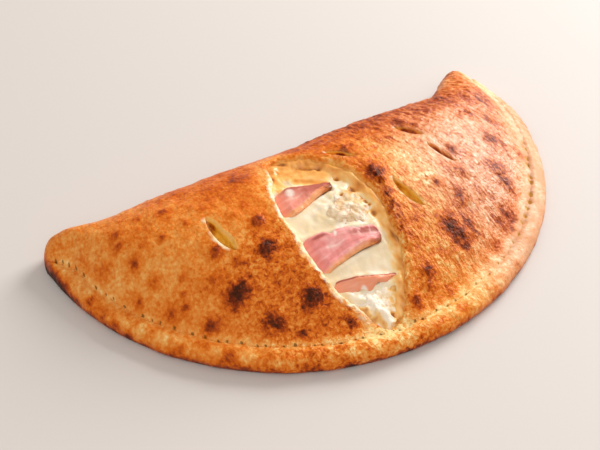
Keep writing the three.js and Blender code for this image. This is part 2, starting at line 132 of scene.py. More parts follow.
# %% Sections and the height over them
def section(s):
    """Where each section runs, how long it is, and the sizes of its rim and fold."""
    rim, fold = rim_point(s), fold_point(s)
    along = fold - rim
    length = np.maximum(np.linalg.norm(along, axis=-1), 1e-3)
    along = along / length[..., None]
    inward = np.array([ROUND_X, ROUND_Y]) - rim
    inward = inward / np.linalg.norm(inward, axis=-1, keepdims=True)
    slant = 1 / np.maximum((inward * along).sum(-1), 0.35)
    height = HEIGHT * (length / WIDEST) ** TAPER_POWER
    return SimpleNamespace(
        s=s, rim=rim, along=along, length=length, height=height, slant=slant,
        rim_middle=np.minimum(RIM_MIDDLE, 0.42 * height),
        rim_top=np.minimum(RIM_TOP, 0.8 * height),
        seam_height=np.minimum(SEAM_HEIGHT, 0.7 * height),
        rim_width=np.minimum(RIM_WIDTH * slant, 0.3 * length),
        seam_in=np.minimum(mix(SEAM_IN, SEAM_IN_RIGHT, s) * slant, 0.45 * length),
        seal_in=np.minimum(SEAL_IN * slant, 0.5 * length),
        fold_middle=FOLD_MIDDLE * height,
    )


def top_height(cut, c):
    """Rolled rim, pressed seam, then a dome: a power curve up to the peak and an oval down to the fold."""
    edge = 1 - np.minimum(c, cut.rim_width) / cut.rim_width
    roll = mix(cut.rim_middle, cut.rim_top, np.sqrt(np.clip(1 - edge**2, 0, 1)))
    pressed = smooth((c - cut.rim_width) / (cut.seam_in - cut.rim_width))
    roll = roll - (cut.rim_top - cut.seam_height) * pressed
    t = np.clip((c - cut.seam_in) / (cut.length - cut.seam_in), 0, 1)
    front = mix(cut.height, cut.seam_height, np.clip(1 - t / PEAK_AT, 0, 1) ** FRONT_POWER)
    back = np.clip((t - PEAK_AT) / (1 - PEAK_AT), 0, 1)
    back = mix(cut.fold_middle, cut.height, np.sqrt(1 - back**BACK_POWER))
    return np.where(c < cut.seam_in, roll, np.where(t < PEAK_AT, front, back))


def locate(x, y):
    """The section through each point of the plan, found by halving the way between the tips 26 times."""
    low, high = np.zeros_like(x), np.ones_like(x)
    for _ in range(26):
        middle = (low + high) / 2
        rim, fold = rim_point(middle), fold_point(middle)
        way = fold - rim
        left_of_it = way[..., 0] * (y - rim[..., 1]) - way[..., 1] * (x - rim[..., 0]) < 0
        low, high = np.where(left_of_it, middle, low), np.where(left_of_it, high, middle)
    cut = section((low + high) / 2)
    c = np.hypot(x - cut.rim[..., 0], y - cut.rim[..., 1])
    return cut, np.minimum(c, cut.length)


def crust_height(x, y):
    """Height of the plain crust over each point of the plan."""
    return top_height(*locate(x, y))


print("height over the middle:", round(float(crust_height(np.array(0.0), np.array(0.0))), 1), "mm")

# %% [markdown]
# ## Noise
# Dough is uneven at every scale. Blender has noise of its own for materials, but the real relief has to
# be in the mesh, so here is a small noise made from arrays. Random values sit on the corners of a grid of
# cubes, and a point inside a cube gets a smooth blend of the eight corners. Adding it at halved sizes
# gives detail on detail.


# %% Noise from arrays
def noise(points, seed):
    """Blend of eight random corner values with smooth weights: hills and hollows from about -1 to 1."""
    table = np.random.default_rng(seed).uniform(-1, 1, 8192)
    cell = np.floor(points).astype(np.int64)
    weight = smooth(points - cell)
    total = np.zeros(points.shape[:-1])
    for corner in itertools.product((0, 1), repeat=3):
        place = ((cell + corner) * (73856093, 19349663, 83492791)).sum(-1) & 8191
        total += table[place] * np.prod(np.where(corner, weight, 1 - weight), -1)
    return total


def layered(points, seed, layers=3):
    """Noise plus half of it at half the size, and so on."""
    return sum(noise(points * 2.03**k + 17.3 * k, seed + k) / 2**k for k in range(layers)) / 1.4


def ridges(points, seed, layers=2):
    """Sharp crests where the noise crosses zero: one minus twice its size, and so on at half the size."""
    crests = [1 - 2 * np.abs(noise(points * 2.03**k + 9.1 * k, seed + k)) for k in range(layers)]
    return sum(crest / 2**k for k, crest in enumerate(crests)) / 1.5


def cobbles(points, seed):
    """One random middle in each cube: the height falls with the distance to the nearest of them."""
    table = np.random.default_rng(seed).uniform(0, 1, (8192, 3))
    cell = np.floor(points).astype(np.int64)
    nearest = np.full(points.shape[:-1], 9.0)
    for step in itertools.product((-1, 0, 1), repeat=3):
        place = ((cell + step) * (73856093, 19349663, 83492791)).sum(-1) & 8191
        nearest = np.minimum(nearest, ((cell + step + table[place] - points) ** 2).sum(-1))
    return 1 - np.sqrt(nearest)


def on_plan(x, y):
    """Points at height 0, for noise that changes only across the plan."""
    return np.stack([x, y, np.zeros_like(x)], -1)


waves = layered(np.linspace(0, 50, 500)[:, None] * [1.0, 0.3, 0.1], 1)
print("layered noise along a line: from", round(float(waves.min()), 2), "to", round(float(waves.max()), 2))

# %% [markdown]
# ## Openings
# The crust is torn open over the middle, in an oval of about 49 by 114 mm, and five short slits let the
# steam out. One function gives the oval, and a lens made of two shallow curves gives each slit.

# %% The tear and the slits
TEAR_X, TEAR_Y, TEAR_HALF_WIDTH, TEAR_HALF_LENGTH, TEAR_BOW = -11.4, -13.0, 24.7, 57.2, -15.6
# what straightens the left side of the oval: cosine and sine shares of one, two and three turns
TEAR_SHAPE = [(-0.046, 0.006), (0.03, 0.014), (-0.128, 0.007)]
# Turn is in degrees. Pale is how much crumb shows on the near edge and gold how amber the inside is.
# Brown is the stretch that browned, in shares of half the length, and how dark it is there, painted shade
# included.
SLITS = [
    SimpleNamespace(x=x, y=y, length=length, width=width, turn=turn, pale=pale, gold=gold, brown=brown)
    for x, y, length, width, turn, pale, gold, brown in (
        (-75.0, 12.3, 26.0, 7.5, 8, 1.0, 1.0, (-1.0, -0.3, 0.55)),
        (29.5, -15.6, 22.5, 8.0, 16, 0.35, 1.0, (-0.95, -0.35, 0.5)),
        (65.6, 1.8, 18.5, 5.2, 25, 0.1, 0.45, (-0.9, 0.95, 1.0)),
        (59.4, 24.4, 18.0, 5.2, 37, 0.1, 0.5, (-0.65, 0.6, 1.0)),
        (13.0, 26.6, 19.0, 5.2, 40, 0.1, 0.8, (-0.45, 0.35, 0.9)),
    )
]
# how wide the floor of a slit is, in shares of its width at the surface
SLIT_FLOOR = 0.55


def tear_shape(angle):
    """1 plus slow waves round the oval."""
    shape = np.ones_like(angle)
    for turns, (a, b) in enumerate(TEAR_SHAPE, 1):
        shape = shape + a * np.cos(turns * angle) + b * np.sin(turns * angle)
    return shape


def tear_outline(angle, outset):
    """An oval whose edge is uneven, bowed so that both its ends lie a little to the left."""
    shape = tear_shape(angle)
    uneven = 0.45 * (np.sin(5 * angle) + 0.6 * np.sin(11 * angle + 1)) + outset
    x = (TEAR_HALF_WIDTH * shape + uneven) * np.cos(angle) + TEAR_BOW * (shape * np.sin(angle)) ** 2
    y = (TEAR_HALF_LENGTH * shape + uneven) * np.sin(angle)
    return TEAR_X + x, TEAR_Y + y


def inside_tear(x, y):
    """1 in the middle of the tear, 0 on its outline and negative outside, and the angle from its middle."""
    dy = (y - TEAR_Y) / TEAR_HALF_LENGTH
    dx = (x - TEAR_X - TEAR_BOW * dy**2) / TEAR_HALF_WIDTH
    around = np.arctan2(dy, dx)
    return 1 - np.hypot(dx, dy) / tear_shape(around), around


def slit_outline(slit, angle, outset):
    """A lens whose far side is drawn in: deep along its near edge, it slopes up to the far one."""
    turn = np.radians(slit.turn)
    bow = np.sin(angle) * np.abs(np.sin(angle)) ** 0.5
    along = (slit.length / 2 + outset) * np.cos(angle)
    across = np.abs(bow) * slit.width * np.where(bow < 0, -0.5, SLIT_FLOOR - 0.5) + outset * bow
    x = slit.x + along * np.sin(turn) + across * np.cos(turn)
    return x, slit.y - along * np.cos(turn) + across * np.sin(turn)


def slit_place(slit, x, y):
    """Across a slit (positive on the far side) and along it (positive to the front), in mm."""
    turn = np.radians(slit.turn)
    across = (x - slit.x) * np.cos(turn) + (y - slit.y) * np.sin(turn)
    along = (x - slit.x) * np.sin(turn) - (y - slit.y) * np.cos(turn)
    return across, along


def line_distance(x, y, points):
    """Distance from a line of straight steps in the plan."""
    nearest = np.full_like(x, 1e3)
    for (ax, ay), (bx, by) in zip(points, points[1:]):
        dx, dy = bx - ax, by - ay
        share = np.clip(((x - ax) * dx + (y - ay) * dy) / (dx**2 + dy**2), 0, 1)
        nearest = np.minimum(nearest, np.hypot(x - ax - share * dx, y - ay - share * dy))
    return nearest


tear_x, tear_y = tear_outline(np.linspace(0, 2 * np.pi, 200), 0)
print("the tear reaches over", round(float(np.ptp(tear_x)), 1), "by", round(float(np.ptp(tear_y)), 1), "mm")

# %% [markdown]
# ## Meshes from grids
# Every new piece below is a row of rings, joined into a skin and closed by a point at each end. That is
# the same idea as a loft in a CAD program, and it keeps each piece one closed body.


# %% Closed skins
def raised(plan, z):
    """Points of the plan, each at its height."""
    return np.concatenate([plan, z[..., None]], -1)


def closed_skin(name, rings):
    """Rings (n, m, 3) in mm: quads between neighbours, and a fan that closes each end on its middle."""
    count, size = rings.shape[:2]
    points = np.concatenate([rings.reshape(-1, 3), rings[[0, -1]].mean(1)]) * MM
    ring, k = np.meshgrid(np.arange(count - 1), np.arange(size), indexing="ij")
    here, there = ring * size + k, ring * size + (k + 1) % size
    quads = np.stack([here, there, there + size, here + size], -1).reshape(-1, 4)
    k = np.arange(size)
    first, last = count * size, count * size + 1
    end = (count - 1) * size
    fans = np.concatenate([
        np.stack([np.full(size, first), (k + 1) % size, k], -1),
        np.stack([np.full(size, last), end + k, end + (k + 1) % size], -1),
    ])
    mesh = bpy.data.meshes.new(name)
    mesh.vertices.add(len(points))
    mesh.vertices.foreach_set("co", points.ravel())
    corners = np.concatenate([quads.ravel(), fans.ravel()])
    mesh.loops.add(len(corners))
    mesh.loops.foreach_set("vertex_index", corners)
    starts = np.concatenate([np.arange(len(quads)) * 4, quads.size + np.arange(len(fans)) * 3])
    mesh.polygons.add(len(starts))
    mesh.polygons.foreach_set("loop_start", starts)
    mesh.update(calc_edges=True)
    mesh.validate()
    mesh.shade_smooth()
    piece = bpy.data.objects.new(name, mesh)
    bpy.context.scene.collection.objects.link(piece)
    return piece


def vertex_positions(piece):
    """The vertices of a piece as an array in mm."""
    flat = np.empty(len(piece.data.vertices) * 3)
    piece.data.vertices.foreach_get("co", flat)
    return flat.reshape(-1, 3) / MM


def store(piece, values):
    """Keep one number for each vertex under each name, where the material can read it."""
    for name, numbers in values.items():
        layer = piece.data.attributes.new(name, "FLOAT", "POINT")
        layer.data.foreach_set("value", np.asarray(numbers, dtype=np.float32).ravel())


def cut_away(piece, cutters):
    """Subtract closed skins from a piece with the Boolean modifier, and keep only the result."""
    for cutter in cutters:
        step = piece.modifiers.new("cut", "BOOLEAN")
        step.operation, step.solver, step.object = "DIFFERENCE", "MANIFOLD", cutter
    evaluated = piece.evaluated_get(bpy.context.evaluated_depsgraph_get())
    mesh = bpy.data.meshes.new_from_object(evaluated)
    old = piece.data
    piece.modifiers.clear()
    piece.data = mesh
    mesh.name = old.name + "_cut"
    bpy.data.meshes.remove(old)
    for cutter in cutters:
        bpy.data.meshes.remove(cutter.data)


# %% [markdown]
# ## Blisters and pricks
# Where the oven's top heat catches a bubble in the dough, the skin rises and chars. The large ones are
# listed one by one, each with its radius and how dark it is, and a few hundred small ones are scattered by a
# seeded draw. A fork or a docking wheel pricks the seam every seven millimetres or so, which seals it.
# Towards the right tip the dough closed over the pricks, so they fade out there.

# %% Places of the blisters
# middle in the plan, radius and darkness
BLISTERS = np.array([
    (-85, -19, 8.5, 1.0), (-59, -8, 7.5, 0.9), (-52, -42, 7, 0.9), (-75, -41, 7.5, 0.85), (-55, 7, 5.5, 0.75),
    (-82, 5, 4.5, 0.8), (-103, -22, 5.5, 0.75), (-116, -3, 6, 0.6), (-110, -6, 4, 0.5), (-120, 29, 5.5, 0.65),
    (-119, 51, 5, 0.5), (-122, 44, 5, 0.5), (-138, 58, 5, 0.2), (-133, 41, 5, 0.4), (-111, 34, 4, 0.3),
    (-116, 14, 5, 0.55), (-104, 6, 3, 0.45), (-107, -1, 3, 0.45), (-127, 14, 3.5, 0.4), (-105, 53, 3.5, 0.35),
    (-87, 30, 3, 0.4), (-101, 30, 3, 0.4), (-145, 34, 4, 0.6), (-75, -7, 4, 0.4), (-53, -69, 4, 0.4),
    (-103, -43, 4, 0.3), (-40, -61, 4.5, 0.8), (-92, -6, 4, 0.35), (-63, 18, 4, 0.3), (-47, 42, 6.5, 0.25),
    (-74, 32, 5, 0.35), (-92, 46, 4.5, 0.4), (-79, 56, 5.5, 0.3), (-105, 22, 3, 0.35), (-87, 14, 3.5, 0.3),
    (-56, 21, 4, 0.4), (-65, -52, 4.5, 0.5), (-93, -20, 4, 0.3), (-46, -12, 4, 0.25), (20, 3, 9.0, 0.9),
    (41, -41, 7.5, 1.0), (43, -49, 8.5, 1.0), (51, -45, 8, 0.6), (13, -57, 6, 0.85), (10, -64, 4, 0.5),
    (-2, -67, 4.5, 0.7), (24, -32, 2.5, 0.4), (13, -29, 5, 0.35), (49, -17, 4.5, 0.9), (57, -28, 6, 0.75),
    (72, -28, 3.5, 0.45), (58, -24, 2.5, 0.5), (62, -10, 4, 0.4), (68, -13, 5, 0.7), (80, -5, 4, 0.4),
    (95, -26, 6, 0.95), (94, -14, 7, 0.8), (90, -13, 3, 0.7), (106, 5, 6.5, 0.8), (112, 1, 5, 0.5),
    (124, -5, 5.5, 0.6), (106, 24, 5.5, 0.6), (97, 24, 3.5, 0.5), (118, 22, 5, 0.4), (82, 36, 5, 0.6),
    (102, 49, 5, 0.4), (43, 24, 6, 0.2), (65, 27, 5, 0.6), (72, 1.5, 4, 0.7), (17, 26.5, 6.5, 0.55),
    (60, 32, 5, 0.6), (83, -43, 9, 0.85), (74, -47, 6, 0.75), (79, -50, 6, 0.8), (62, -57, 6.5, 0.65),
    (34, -55, 5, 0.5), (19, -70, 5, 0.5), (66, -72, 4, 0.5), (20, -83, 3.5, 0.45), (9, 57, 4, 0.35),
])
# Blisters on the left are drawn out along the fold, and those on the right across it.
BLISTER_STRETCH_LEFT, BLISTER_STRETCH_RIGHT, LEFT_BLISTERS_TO = 1.12, 0.92, -20
# where the crust crackled beside the tear, as a line in the plan
SCORCH = [(18, 0), (16, -10), (14, -20), (12, -30)]
print(len(BLISTERS), "blisters placed by hand")


def spots(x, y, places, blur):
    """The darkest spot at each point: a soft halo and a core, which is wider the darker the spot."""
    total = np.zeros_like(x)
    for px, py, radius, strength in places:
        near = (np.abs(x - px) < 2.2 * radius) & (np.abs(y - py) < 2.2 * radius)
        stretch = BLISTER_STRETCH_LEFT if px < LEFT_BLISTERS_TO else BLISTER_STRETCH_RIGHT
        distance = np.maximum(np.hypot(x[near] - px, (y[near] - py) * stretch) / radius + blur[near], 0)
        halo, core = np.exp(-1.3 * distance**2), np.exp(-((distance / mix(0.25, 0.8, strength)) ** 3))
        total[near] = np.maximum(total[near], strength * mix(halo, core, 0.5 * strength))
    return total


def scorched(x, y):
    """1 along the right side of the tear, where the crust bulged highest and crackled, fading over 8 mm."""
    return fade(line_distance(x, y, SCORCH), 4.5)


# %% Places of the pricks and freckles
PRICK_COUNT, PRICK_DEPTH, FRECKLE_COUNT = 64, 1.0, 420
PRICK_FROM, PRICK_TO = 0.03, 0.965
PRICK_STEP = RIM_LENGTH * (PRICK_TO - PRICK_FROM) / PRICK_COUNT
random = np.random.default_rng(5)
prick_s = np.linspace(PRICK_FROM, PRICK_TO, PRICK_COUNT)
prick_s += random.uniform(-0.36, 0.36, PRICK_COUNT) / PRICK_COUNT
prick_side = random.uniform(-0.9, 0.9, PRICK_COUNT)
# radius in mm: larger at the left tip and on the right, and nearly closed from 0.85 of the way on
prick_size = random.uniform(0.8, 1.2, PRICK_COUNT)
prick_size *= 0.62 + 1.2 * smooth((prick_s - 0.62) / 0.15) + 0.45 * (1 - smooth((prick_s - 0.06) / 0.1))
prick_size *= 1 - 0.97 * smooth((prick_s - 0.82) / 0.03)
freckle_spots = np.column_stack([
    random.uniform(-150, 150, FRECKLE_COUNT), random.uniform(-85, 85, FRECKLE_COUNT),
    random.uniform(1.0, 2.6, FRECKLE_COUNT), random.uniform(0.1, 0.4, FRECKLE_COUNT),
])


def prick_row(cut, c):
    """How far along the row, counted in pricks, how far beside it in mm, and the radius of the prick."""
    s = np.broadcast_to(cut.s, c.shape)
    ends = np.array([prick_s[0] - 0.5 / PRICK_COUNT, prick_s[-1] + 0.5 / PRICK_COUNT])
    places = np.concatenate([ends[:1], prick_s, ends[1:]])
    number = np.interp(s, places, np.concatenate([[-0.5], np.arange(PRICK_COUNT), [PRICK_COUNT - 0.5]]))
    return number, c - cut.seam_in - np.interp(s, prick_s, prick_side), np.interp(s, prick_s, prick_size)


def pricks(cut, c):
    """0 to 1 into each prick: a smooth fall from the middle of the nearest hole."""
    number, beside, size = prick_row(cut, c)
    distance = np.hypot((number - np.round(number)) * PRICK_STEP, beside)
    return smooth(1.5 - distance / (size + 0.3)) * smooth(size / 0.5)


print("pricks every", round(float(PRICK_STEP), 1), "mm, and", len(freckle_spots), "freckles")

# %% [markdown]
# ## The crust
# The crust is one thick skin of dough, so it is made as the real one is: an outer form, a hollow inside,
# and then the tear and the slits cut through it. The outer form is a grid of 440 sections with 197 points
# each, close enough for the wrinkles to be real relief. The cutters flare out towards the surface, and
# that leaves a rounded lip round every opening, as torn dough has.

# %% Relief of the crust
def streak_places(cut, c, width, length):
    """Noise coordinates that are stretched along the sections, as the skin is when the dome rises."""
    s = np.broadcast_to(cut.s, c.shape)
    return np.stack([s * RIM_LENGTH / width, c / length, np.zeros_like(c)], -1)


def calm(x, y):
    """0 on the lips of the tear and the slits, 1 a few millimetres outside them."""
    hole, around = inside_tear(x, y)
    lip = mix(0.10, 0.22, smooth((np.cos(around) + 0.3) / 1.1))
    still = smooth((-hole - lip) / 0.2)
    for slit in SLITS:
        across, along = slit_place(slit, x, y)
        reach = np.hypot(across / (slit.width / 2 + 3.0), along / (slit.length / 2 + 2.5))
        still = np.minimum(still, smooth((reach - 0.85) / 0.4))
    return still


def crust_relief(points, cut, c):
    """Swells, blisters, wrinkles along the sections, lumps on the rim, and the pricked seam, in mm."""
    x, y = points[..., 0], points[..., 1]
    seam = fade(c - cut.seam_in, 3.2)
    up_to_seam = smooth((c - 0.7 * cut.rim_width) / (cut.seam_in - 0.7 * cut.rim_width))
    groove = np.where(c < cut.seam_in, up_to_seam, fade(c - cut.seam_in, 4.5))
    dome = smooth((c - cut.seam_in - 2) / 12)
    rim = 1 - smooth((c - cut.rim_width) / (cut.seam_in - cut.rim_width))
    right = smooth((x + 15) / 50)
    plain = smooth((x - 35) / 45) * smooth((5 - y) / 20) * np.maximum(rim, seam)
    way = c + np.maximum(top_height(cut, c) - points[..., 2], 0)
    crackle = spots(x, y, BLISTERS, 0.25 * noise(points / 4.0, 40)) + scorched(x, y)
    wrinkles = ridges(streak_places(cut, way, 2.9, 6.0), 8)
    high = dome * (0.9 * layered(points / 26, 1) + 0.34 * layered(points / 6.5, 4) + 0.9 * crackle)
    high += dome * (0.08 + 0.30 * right + 0.3 * crackle) * wrinkles
    high += (1.7 + 1.2 * smooth((x - 80) / 30) * smooth((y + 8) / 25)) * groove
    fine = (0.20 + 0.30 * right + 0.3 * crackle) * layered(points / 2.9, 11, 1)
    fine += (0.10 + 0.24 * right * dome + 0.25 * crackle) * ridges(points / 4.2, 13)
    fine += 0.35 * rim * layered(points / 4, 16)
    high += fine * (1 - 0.7 * plain) + rim * mix(0.8, 0.4, right) * layered(points / 9, 14)
    pads = -np.cos(2 * np.pi * prick_row(cut, c)[0]) * smooth((cut.s - 0.6) / 0.2)
    high += seam * (0.4 * layered(points / 4.5, 20) + 0.25 * pads)
    high = high * mix(0.12, 1, calm(x, y))
    return smooth(cut.length / 45) * (high - PRICK_DEPTH * (1 - 0.6 * right) * pricks(cut, c))


# %% The outer form of the crust
SECTIONS, RIM_ROWS, SEAM_ROWS, DOME_ROWS = 440, 9, 20, 142
FOLD_ROWS, BASE_ROWS, UNDER_ROWS = 12, 6, 8


def section_numbers(count):
    """Even steps blended with cosine steps, which are closer together at the tips."""
    even = (np.arange(count) + 0.5) / count
    return mix(even, (1 - np.cos(np.pi * even)) / 2, 0.45)


def surface_normals(rings):
    """Cross product of the steps along a ring and from ring to ring."""
    along_ring = np.roll(rings, -1, 1) - np.roll(rings, 1, 1)
    normal = np.cross(along_ring, np.gradient(rings, axis=0))
    return normal / np.maximum(np.linalg.norm(normal, axis=-1, keepdims=True), 1e-9)


def crust_rings():
    """Over the top from rim to fold, under the fold, along the base and up under the rim."""
    cut = section(section_numbers(SECTIONS)[:, None])
    rim_c = cut.rim_width * (np.arange(RIM_ROWS) / RIM_ROWS) ** 1.8
    seam_end = np.minimum(cut.seam_in + 4 * cut.slant, 0.6 * cut.length)
    seam_c = mix(cut.rim_width, seam_end, np.arange(SEAM_ROWS) / SEAM_ROWS)
    dome_c = mix(seam_end, cut.length, 1 - (1 - np.arange(DOME_ROWS) / DOME_ROWS) ** 1.4)
    top_c = np.concatenate([rim_c, seam_c, dome_c], 1)
    top_z = top_height(cut, top_c)
    angle = np.pi / 2 * np.arange(FOLD_ROWS) / FOLD_ROWS
    fold_in = np.minimum(FOLD_UNDERCUT * cut.fold_middle, 0.3 * cut.length)
    fold_c, fold_z = cut.length - fold_in * (1 - np.cos(angle)), cut.fold_middle * (1 - np.sin(angle))
    rim_in = np.minimum(RIM_UNDERCUT, 0.2 * cut.length)
    base_c = mix(cut.length - fold_in, rim_in, np.arange(BASE_ROWS) / BASE_ROWS)
    angle = np.pi / 2 * np.arange(UNDER_ROWS) / UNDER_ROWS
    under_c, under_z = rim_in * (1 - np.sin(angle)), cut.rim_middle * (1 - np.cos(angle))
    c = np.concatenate([top_c, fold_c, base_c, under_c], 1)
    z = np.concatenate([top_z, fold_z, np.zeros_like(base_c), under_z], 1)
    points = raised(cut.rim + cut.along * c[..., None], z)
    free = smooth(points[..., 2] / 3)[..., None]
    shift = crust_relief(points, cut, c)[..., None] * free
    points = points + surface_normals(points[:, ::-1])[:, ::-1] * shift
    points[..., 2] = np.maximum(points[..., 2], 0)
    return points[:, ::-1]


crust = closed_skin("crust_dough", crust_rings())
print("crust skin:", len(crust.data.polygons), "faces")

# %% [markdown]
# ### Cutting the crust open
# A cutter is a closed skin too: rings round the outline, from below the dough up into the air. Below the
# surface it follows a quarter circle outwards, so the cut edge is round. On the right, where the crust
# bulges over the filling, the round is large; on the left the dough is torn short and shows its pale
# crumb.

# %% The hollow under the crust
CORE_FROM, CORE_TO, CORE_SECTIONS = 0.035, 0.965, 60


def core_grid(s, gap, top_rows, base_rows):
    """The core: it follows the crust from below, one thickness of dough deeper, and has a flat floor."""
    cut = section(s[:, None])
    near = cut.seal_in + gap
    far = np.maximum(cut.length - BACK_DOUGH - gap, near + 2)
    top_c = mix(near, far, np.linspace(0, 1, top_rows))
    top_z = np.maximum(DOUGH + gap + 0.6, top_height(cut, top_c) - DOUGH - gap)
    base_c = mix(far, near, np.arange(1, base_rows + 1) / base_rows)
    c = np.concatenate([top_c, base_c], 1)
    z = np.concatenate([top_z, np.full_like(base_c, DOUGH + gap)], 1)
    return cut.rim + cut.along * c[..., None], z


core_plan, core_z = core_grid(np.linspace(CORE_FROM, CORE_TO, CORE_SECTIONS), 0, 25, 4)
hollow = closed_skin("hollow", raised(core_plan, core_z)[:, ::-1])
print("the hollow reaches up to", round(float(core_z.max()), 1), "mm")

# %% Cutters for the tear and the slits
LIP_STEPS, WALL_STEPS, TEAR_ROUND, SLIT_ROUND = 12, 4, 420, 96
TEAR_DEPTH, SLIT_DEPTH = DOUGH + 2, 3.8
# how deep a cutter goes in the seal, where the two layers of dough are one
SEALED_FLOOR, SEALED_WALL = 2.6, 2.4


def opening_rings(outline, lip, count, depth, ragged):
    """Rings from the floor of the cut up its wall, which leans out in a quarter circle and is uneven."""
    angle = 2 * np.pi * np.arange(count) / count
    floor_x, floor_y = outline(angle, 0 * angle)
    radius = lip(angle) * (1 + 0.45 * noise(on_plan(floor_x, floor_y) / 7, 52))
    rings = []
    for share in (0.3, 0.65, 1.0):
        x, y = mix(floor_x.mean(), floor_x, share), mix(floor_y.mean(), floor_y, share)
        cut, c = locate(x, y)
        sealed = 1 - smooth((c - cut.seal_in + 4) / 5)
        floor = np.maximum(top_height(cut, c) - mix(depth, SEALED_FLOOR, sealed), 4)
        rings.append(np.stack([x, y, floor], -1))
    for step in range(1, LIP_STEPS + 1):
        t = step / LIP_STEPS
        out = radius * (1 - np.cos(np.pi / 2 * t))
        down = radius * (1 - np.sin(np.pi / 2 * t))
        if step < WALL_STEPS:
            down = mix(depth * 0.95, radius, step / WALL_STEPS)
        down = np.minimum(down, mix(depth, SEALED_WALL, sealed))
        x, y = outline(angle, out)
        out = out + t * ragged(angle) * layered(raised(np.stack([x, y], -1), down + 0 * x) / 2.4, 50)
        x, y = outline(angle, out)
        rings.append(np.stack([x, y, crust_height(x, y) - down], -1))
    x, y = outline(angle, out + 2.5)
    rings.append(np.stack([x, y, crust_height(x, y) + 1.6], -1))
    rings.append(np.stack([x, y, np.full_like(x, HEIGHT + 12)], -1))
    return np.array(rings)


def tear_lip(angle):
    """Lip radius in mm: large on the right, small on the left, larger again at the back and the front."""
    ends = smooth((np.abs(np.sin(angle)) - 0.75) / 0.25)
    return mix(3.2, 5.5, smooth((np.cos(angle) + 0.3) / 1.1)) + 1.0 * ends


def tear_ragged(angle):
    """How uneven the torn edge is, in mm: more on the left, where the dough broke."""
    return mix(1.7, 1.3, smooth((np.cos(angle) + 0.3) / 0.9))


def slit_lip(angle):
    """Lip radius in mm: the far side of each slit slopes, the near side is steep."""
    return mix(1.0, 3.4, smooth((np.sin(angle) + 0.2) / 1.2))


def slit_ragged(angle):
    """The slits were cut with a knife, so their edges are nearly even."""
    return 0.25 + 0 * angle


tear_rings = opening_rings(tear_outline, tear_lip, TEAR_ROUND, TEAR_DEPTH, tear_ragged)
cutters = [hollow, closed_skin("tear", tear_rings)]
for k, slit in enumerate(SLITS):
    rings = opening_rings(partial(slit_outline, slit), slit_lip, SLIT_ROUND, SLIT_DEPTH, slit_ragged)
    cutters.append(closed_skin(f"slit_{k}", rings))
print("cutters:", [cutter.name for cutter in cutters])

# %% The cut
def mark_faces(piece, number):
    """Give every face of a piece one material index, which the face keeps through a cut."""
    for _ in range(2):
        piece.data.materials.append(None)
    indices = np.full(len(piece.data.polygons), number, dtype=np.int32)
    piece.data.polygons.foreach_set("material_index", indices)


def cut_vertices(piece):
    """1 on every vertex that touches a face left by a cutter."""
    mesh = piece.data
    index = np.empty(len(mesh.polygons), dtype=np.int32)
    total = np.empty(len(mesh.polygons), dtype=np.int32)
    corner = np.empty(len(mesh.loops), dtype=np.int32)
    mesh.polygons.foreach_get("material_index", index)
    mesh.polygons.foreach_get("loop_total", total)
    mesh.loops.foreach_get("vertex_index", corner)
    flag = np.zeros(len(mesh.vertices))
    flag[corner[np.repeat(index, total) == 1]] = 1
    return flag


def roughen_cuts(piece):
    """Move the faces of the tear in and out along their normals, by layered noise and more on the right."""
    place, flag = vertex_positions(piece), cut_vertices(piece)
    normal = np.empty(place.size)
    piece.data.vertex_normals.foreach_get("vector", normal)
    hole, around = inside_tear(place[:, 0], place[:, 1])
    lip = smooth((0.5 - np.abs(hole)) / 0.1)
    reach = flag * lip * mix(0.25, 0.6, smooth((np.cos(around) + 0.3) / 0.8))
    place += (reach * layered(place / 4.2, 55, 3))[:, None] * normal.reshape(-1, 3)
    piece.data.vertices.foreach_set("co", (place * MM).ravel())
    piece.data.update()


mark_faces(crust, 0)
for cutter in cutters:
    mark_faces(cutter, 1)
cut_away(crust, cutters)
roughen_cuts(crust)
print("crust after cutting:", len(crust.data.polygons), "faces")

# %% [markdown]
# ### What the baked surface shows
# The colour of bread is a record of heat: pale where the dough was shaded or thick, golden where it
# dried, brown to black where a blister stood up to the flame. It could be painted on by hand; here the
# script works out one number, the bake, for every vertex, and the material only has to turn it into
# colour. The faces that the cutters left are marked by their material index, which is how the pale crumb
# finds the torn edges.

# %% Where each vertex of the crust lies
place = vertex_positions(crust)
x, y, z = place.T
cut, c = locate(x, y)
depth = top_height(cut, c) - z
way = c + np.maximum(depth, 0)
flag = cut_vertices(crust)
hole, around = inside_tear(x, y)
near_tear = hole > -0.35
right_lip = smooth((np.cos(around) + 0.45) / 0.35) * near_tear
left_lip = (1 - right_lip) * near_tear

room = smooth(cut.length / 45)
dome = smooth((c - cut.seam_in - 2) / 12)
front = smooth((cut.seam_in + 34 - c) / 30)
seam = fade(c - cut.seam_in, 3.4) * room
rim = 1 - smooth((c - cut.rim_width * 0.8) / (cut.seam_in - cut.rim_width * 0.8))
edge = np.maximum(rim, seam)
under = smooth((7.0 - z) / 6)
right, far_right = smooth((x + 15) / 50), smooth((x - 40) / 50)
print(round(float(flag.mean() * 100), 1), "% of the vertices are on cut faces")

# %% [markdown]
# ### How brown it is
# The bake starts from an uneven golden ground. Most terms after that are things the oven did: it
# streaked the skin along the dome, left the seam and the front pale, scorched the blisters, and browned
# the fold. Some paint light and shade instead: the crust is darker low down, where shade falls, paler on
# the top of the rim, and paler on the crests of its wrinkles than in their troughs. A value of 0 is nearly
# raw, about 0.5 is orange gold and 1 is charred.

# %% Bake of the ground and of the blisters
# middle in the plan, reach along x and y, and how much browner or paler it is there
PATCHES = [
    (-66, -42, 28, 26, 0.15), (-103, -18, 22, 20, 0.09), (-36, 48, 14, 12, -0.10), (45, 2, 24, 22, -0.18),
]


def bell(x, y, middle_x, middle_y, reach_x, reach_y):
    """1 in the middle of an oval, about a third at its reach and 0 well beyond it."""
    return fade(np.hypot((x - middle_x) / reach_x, (y - middle_y) / reach_y), 1)


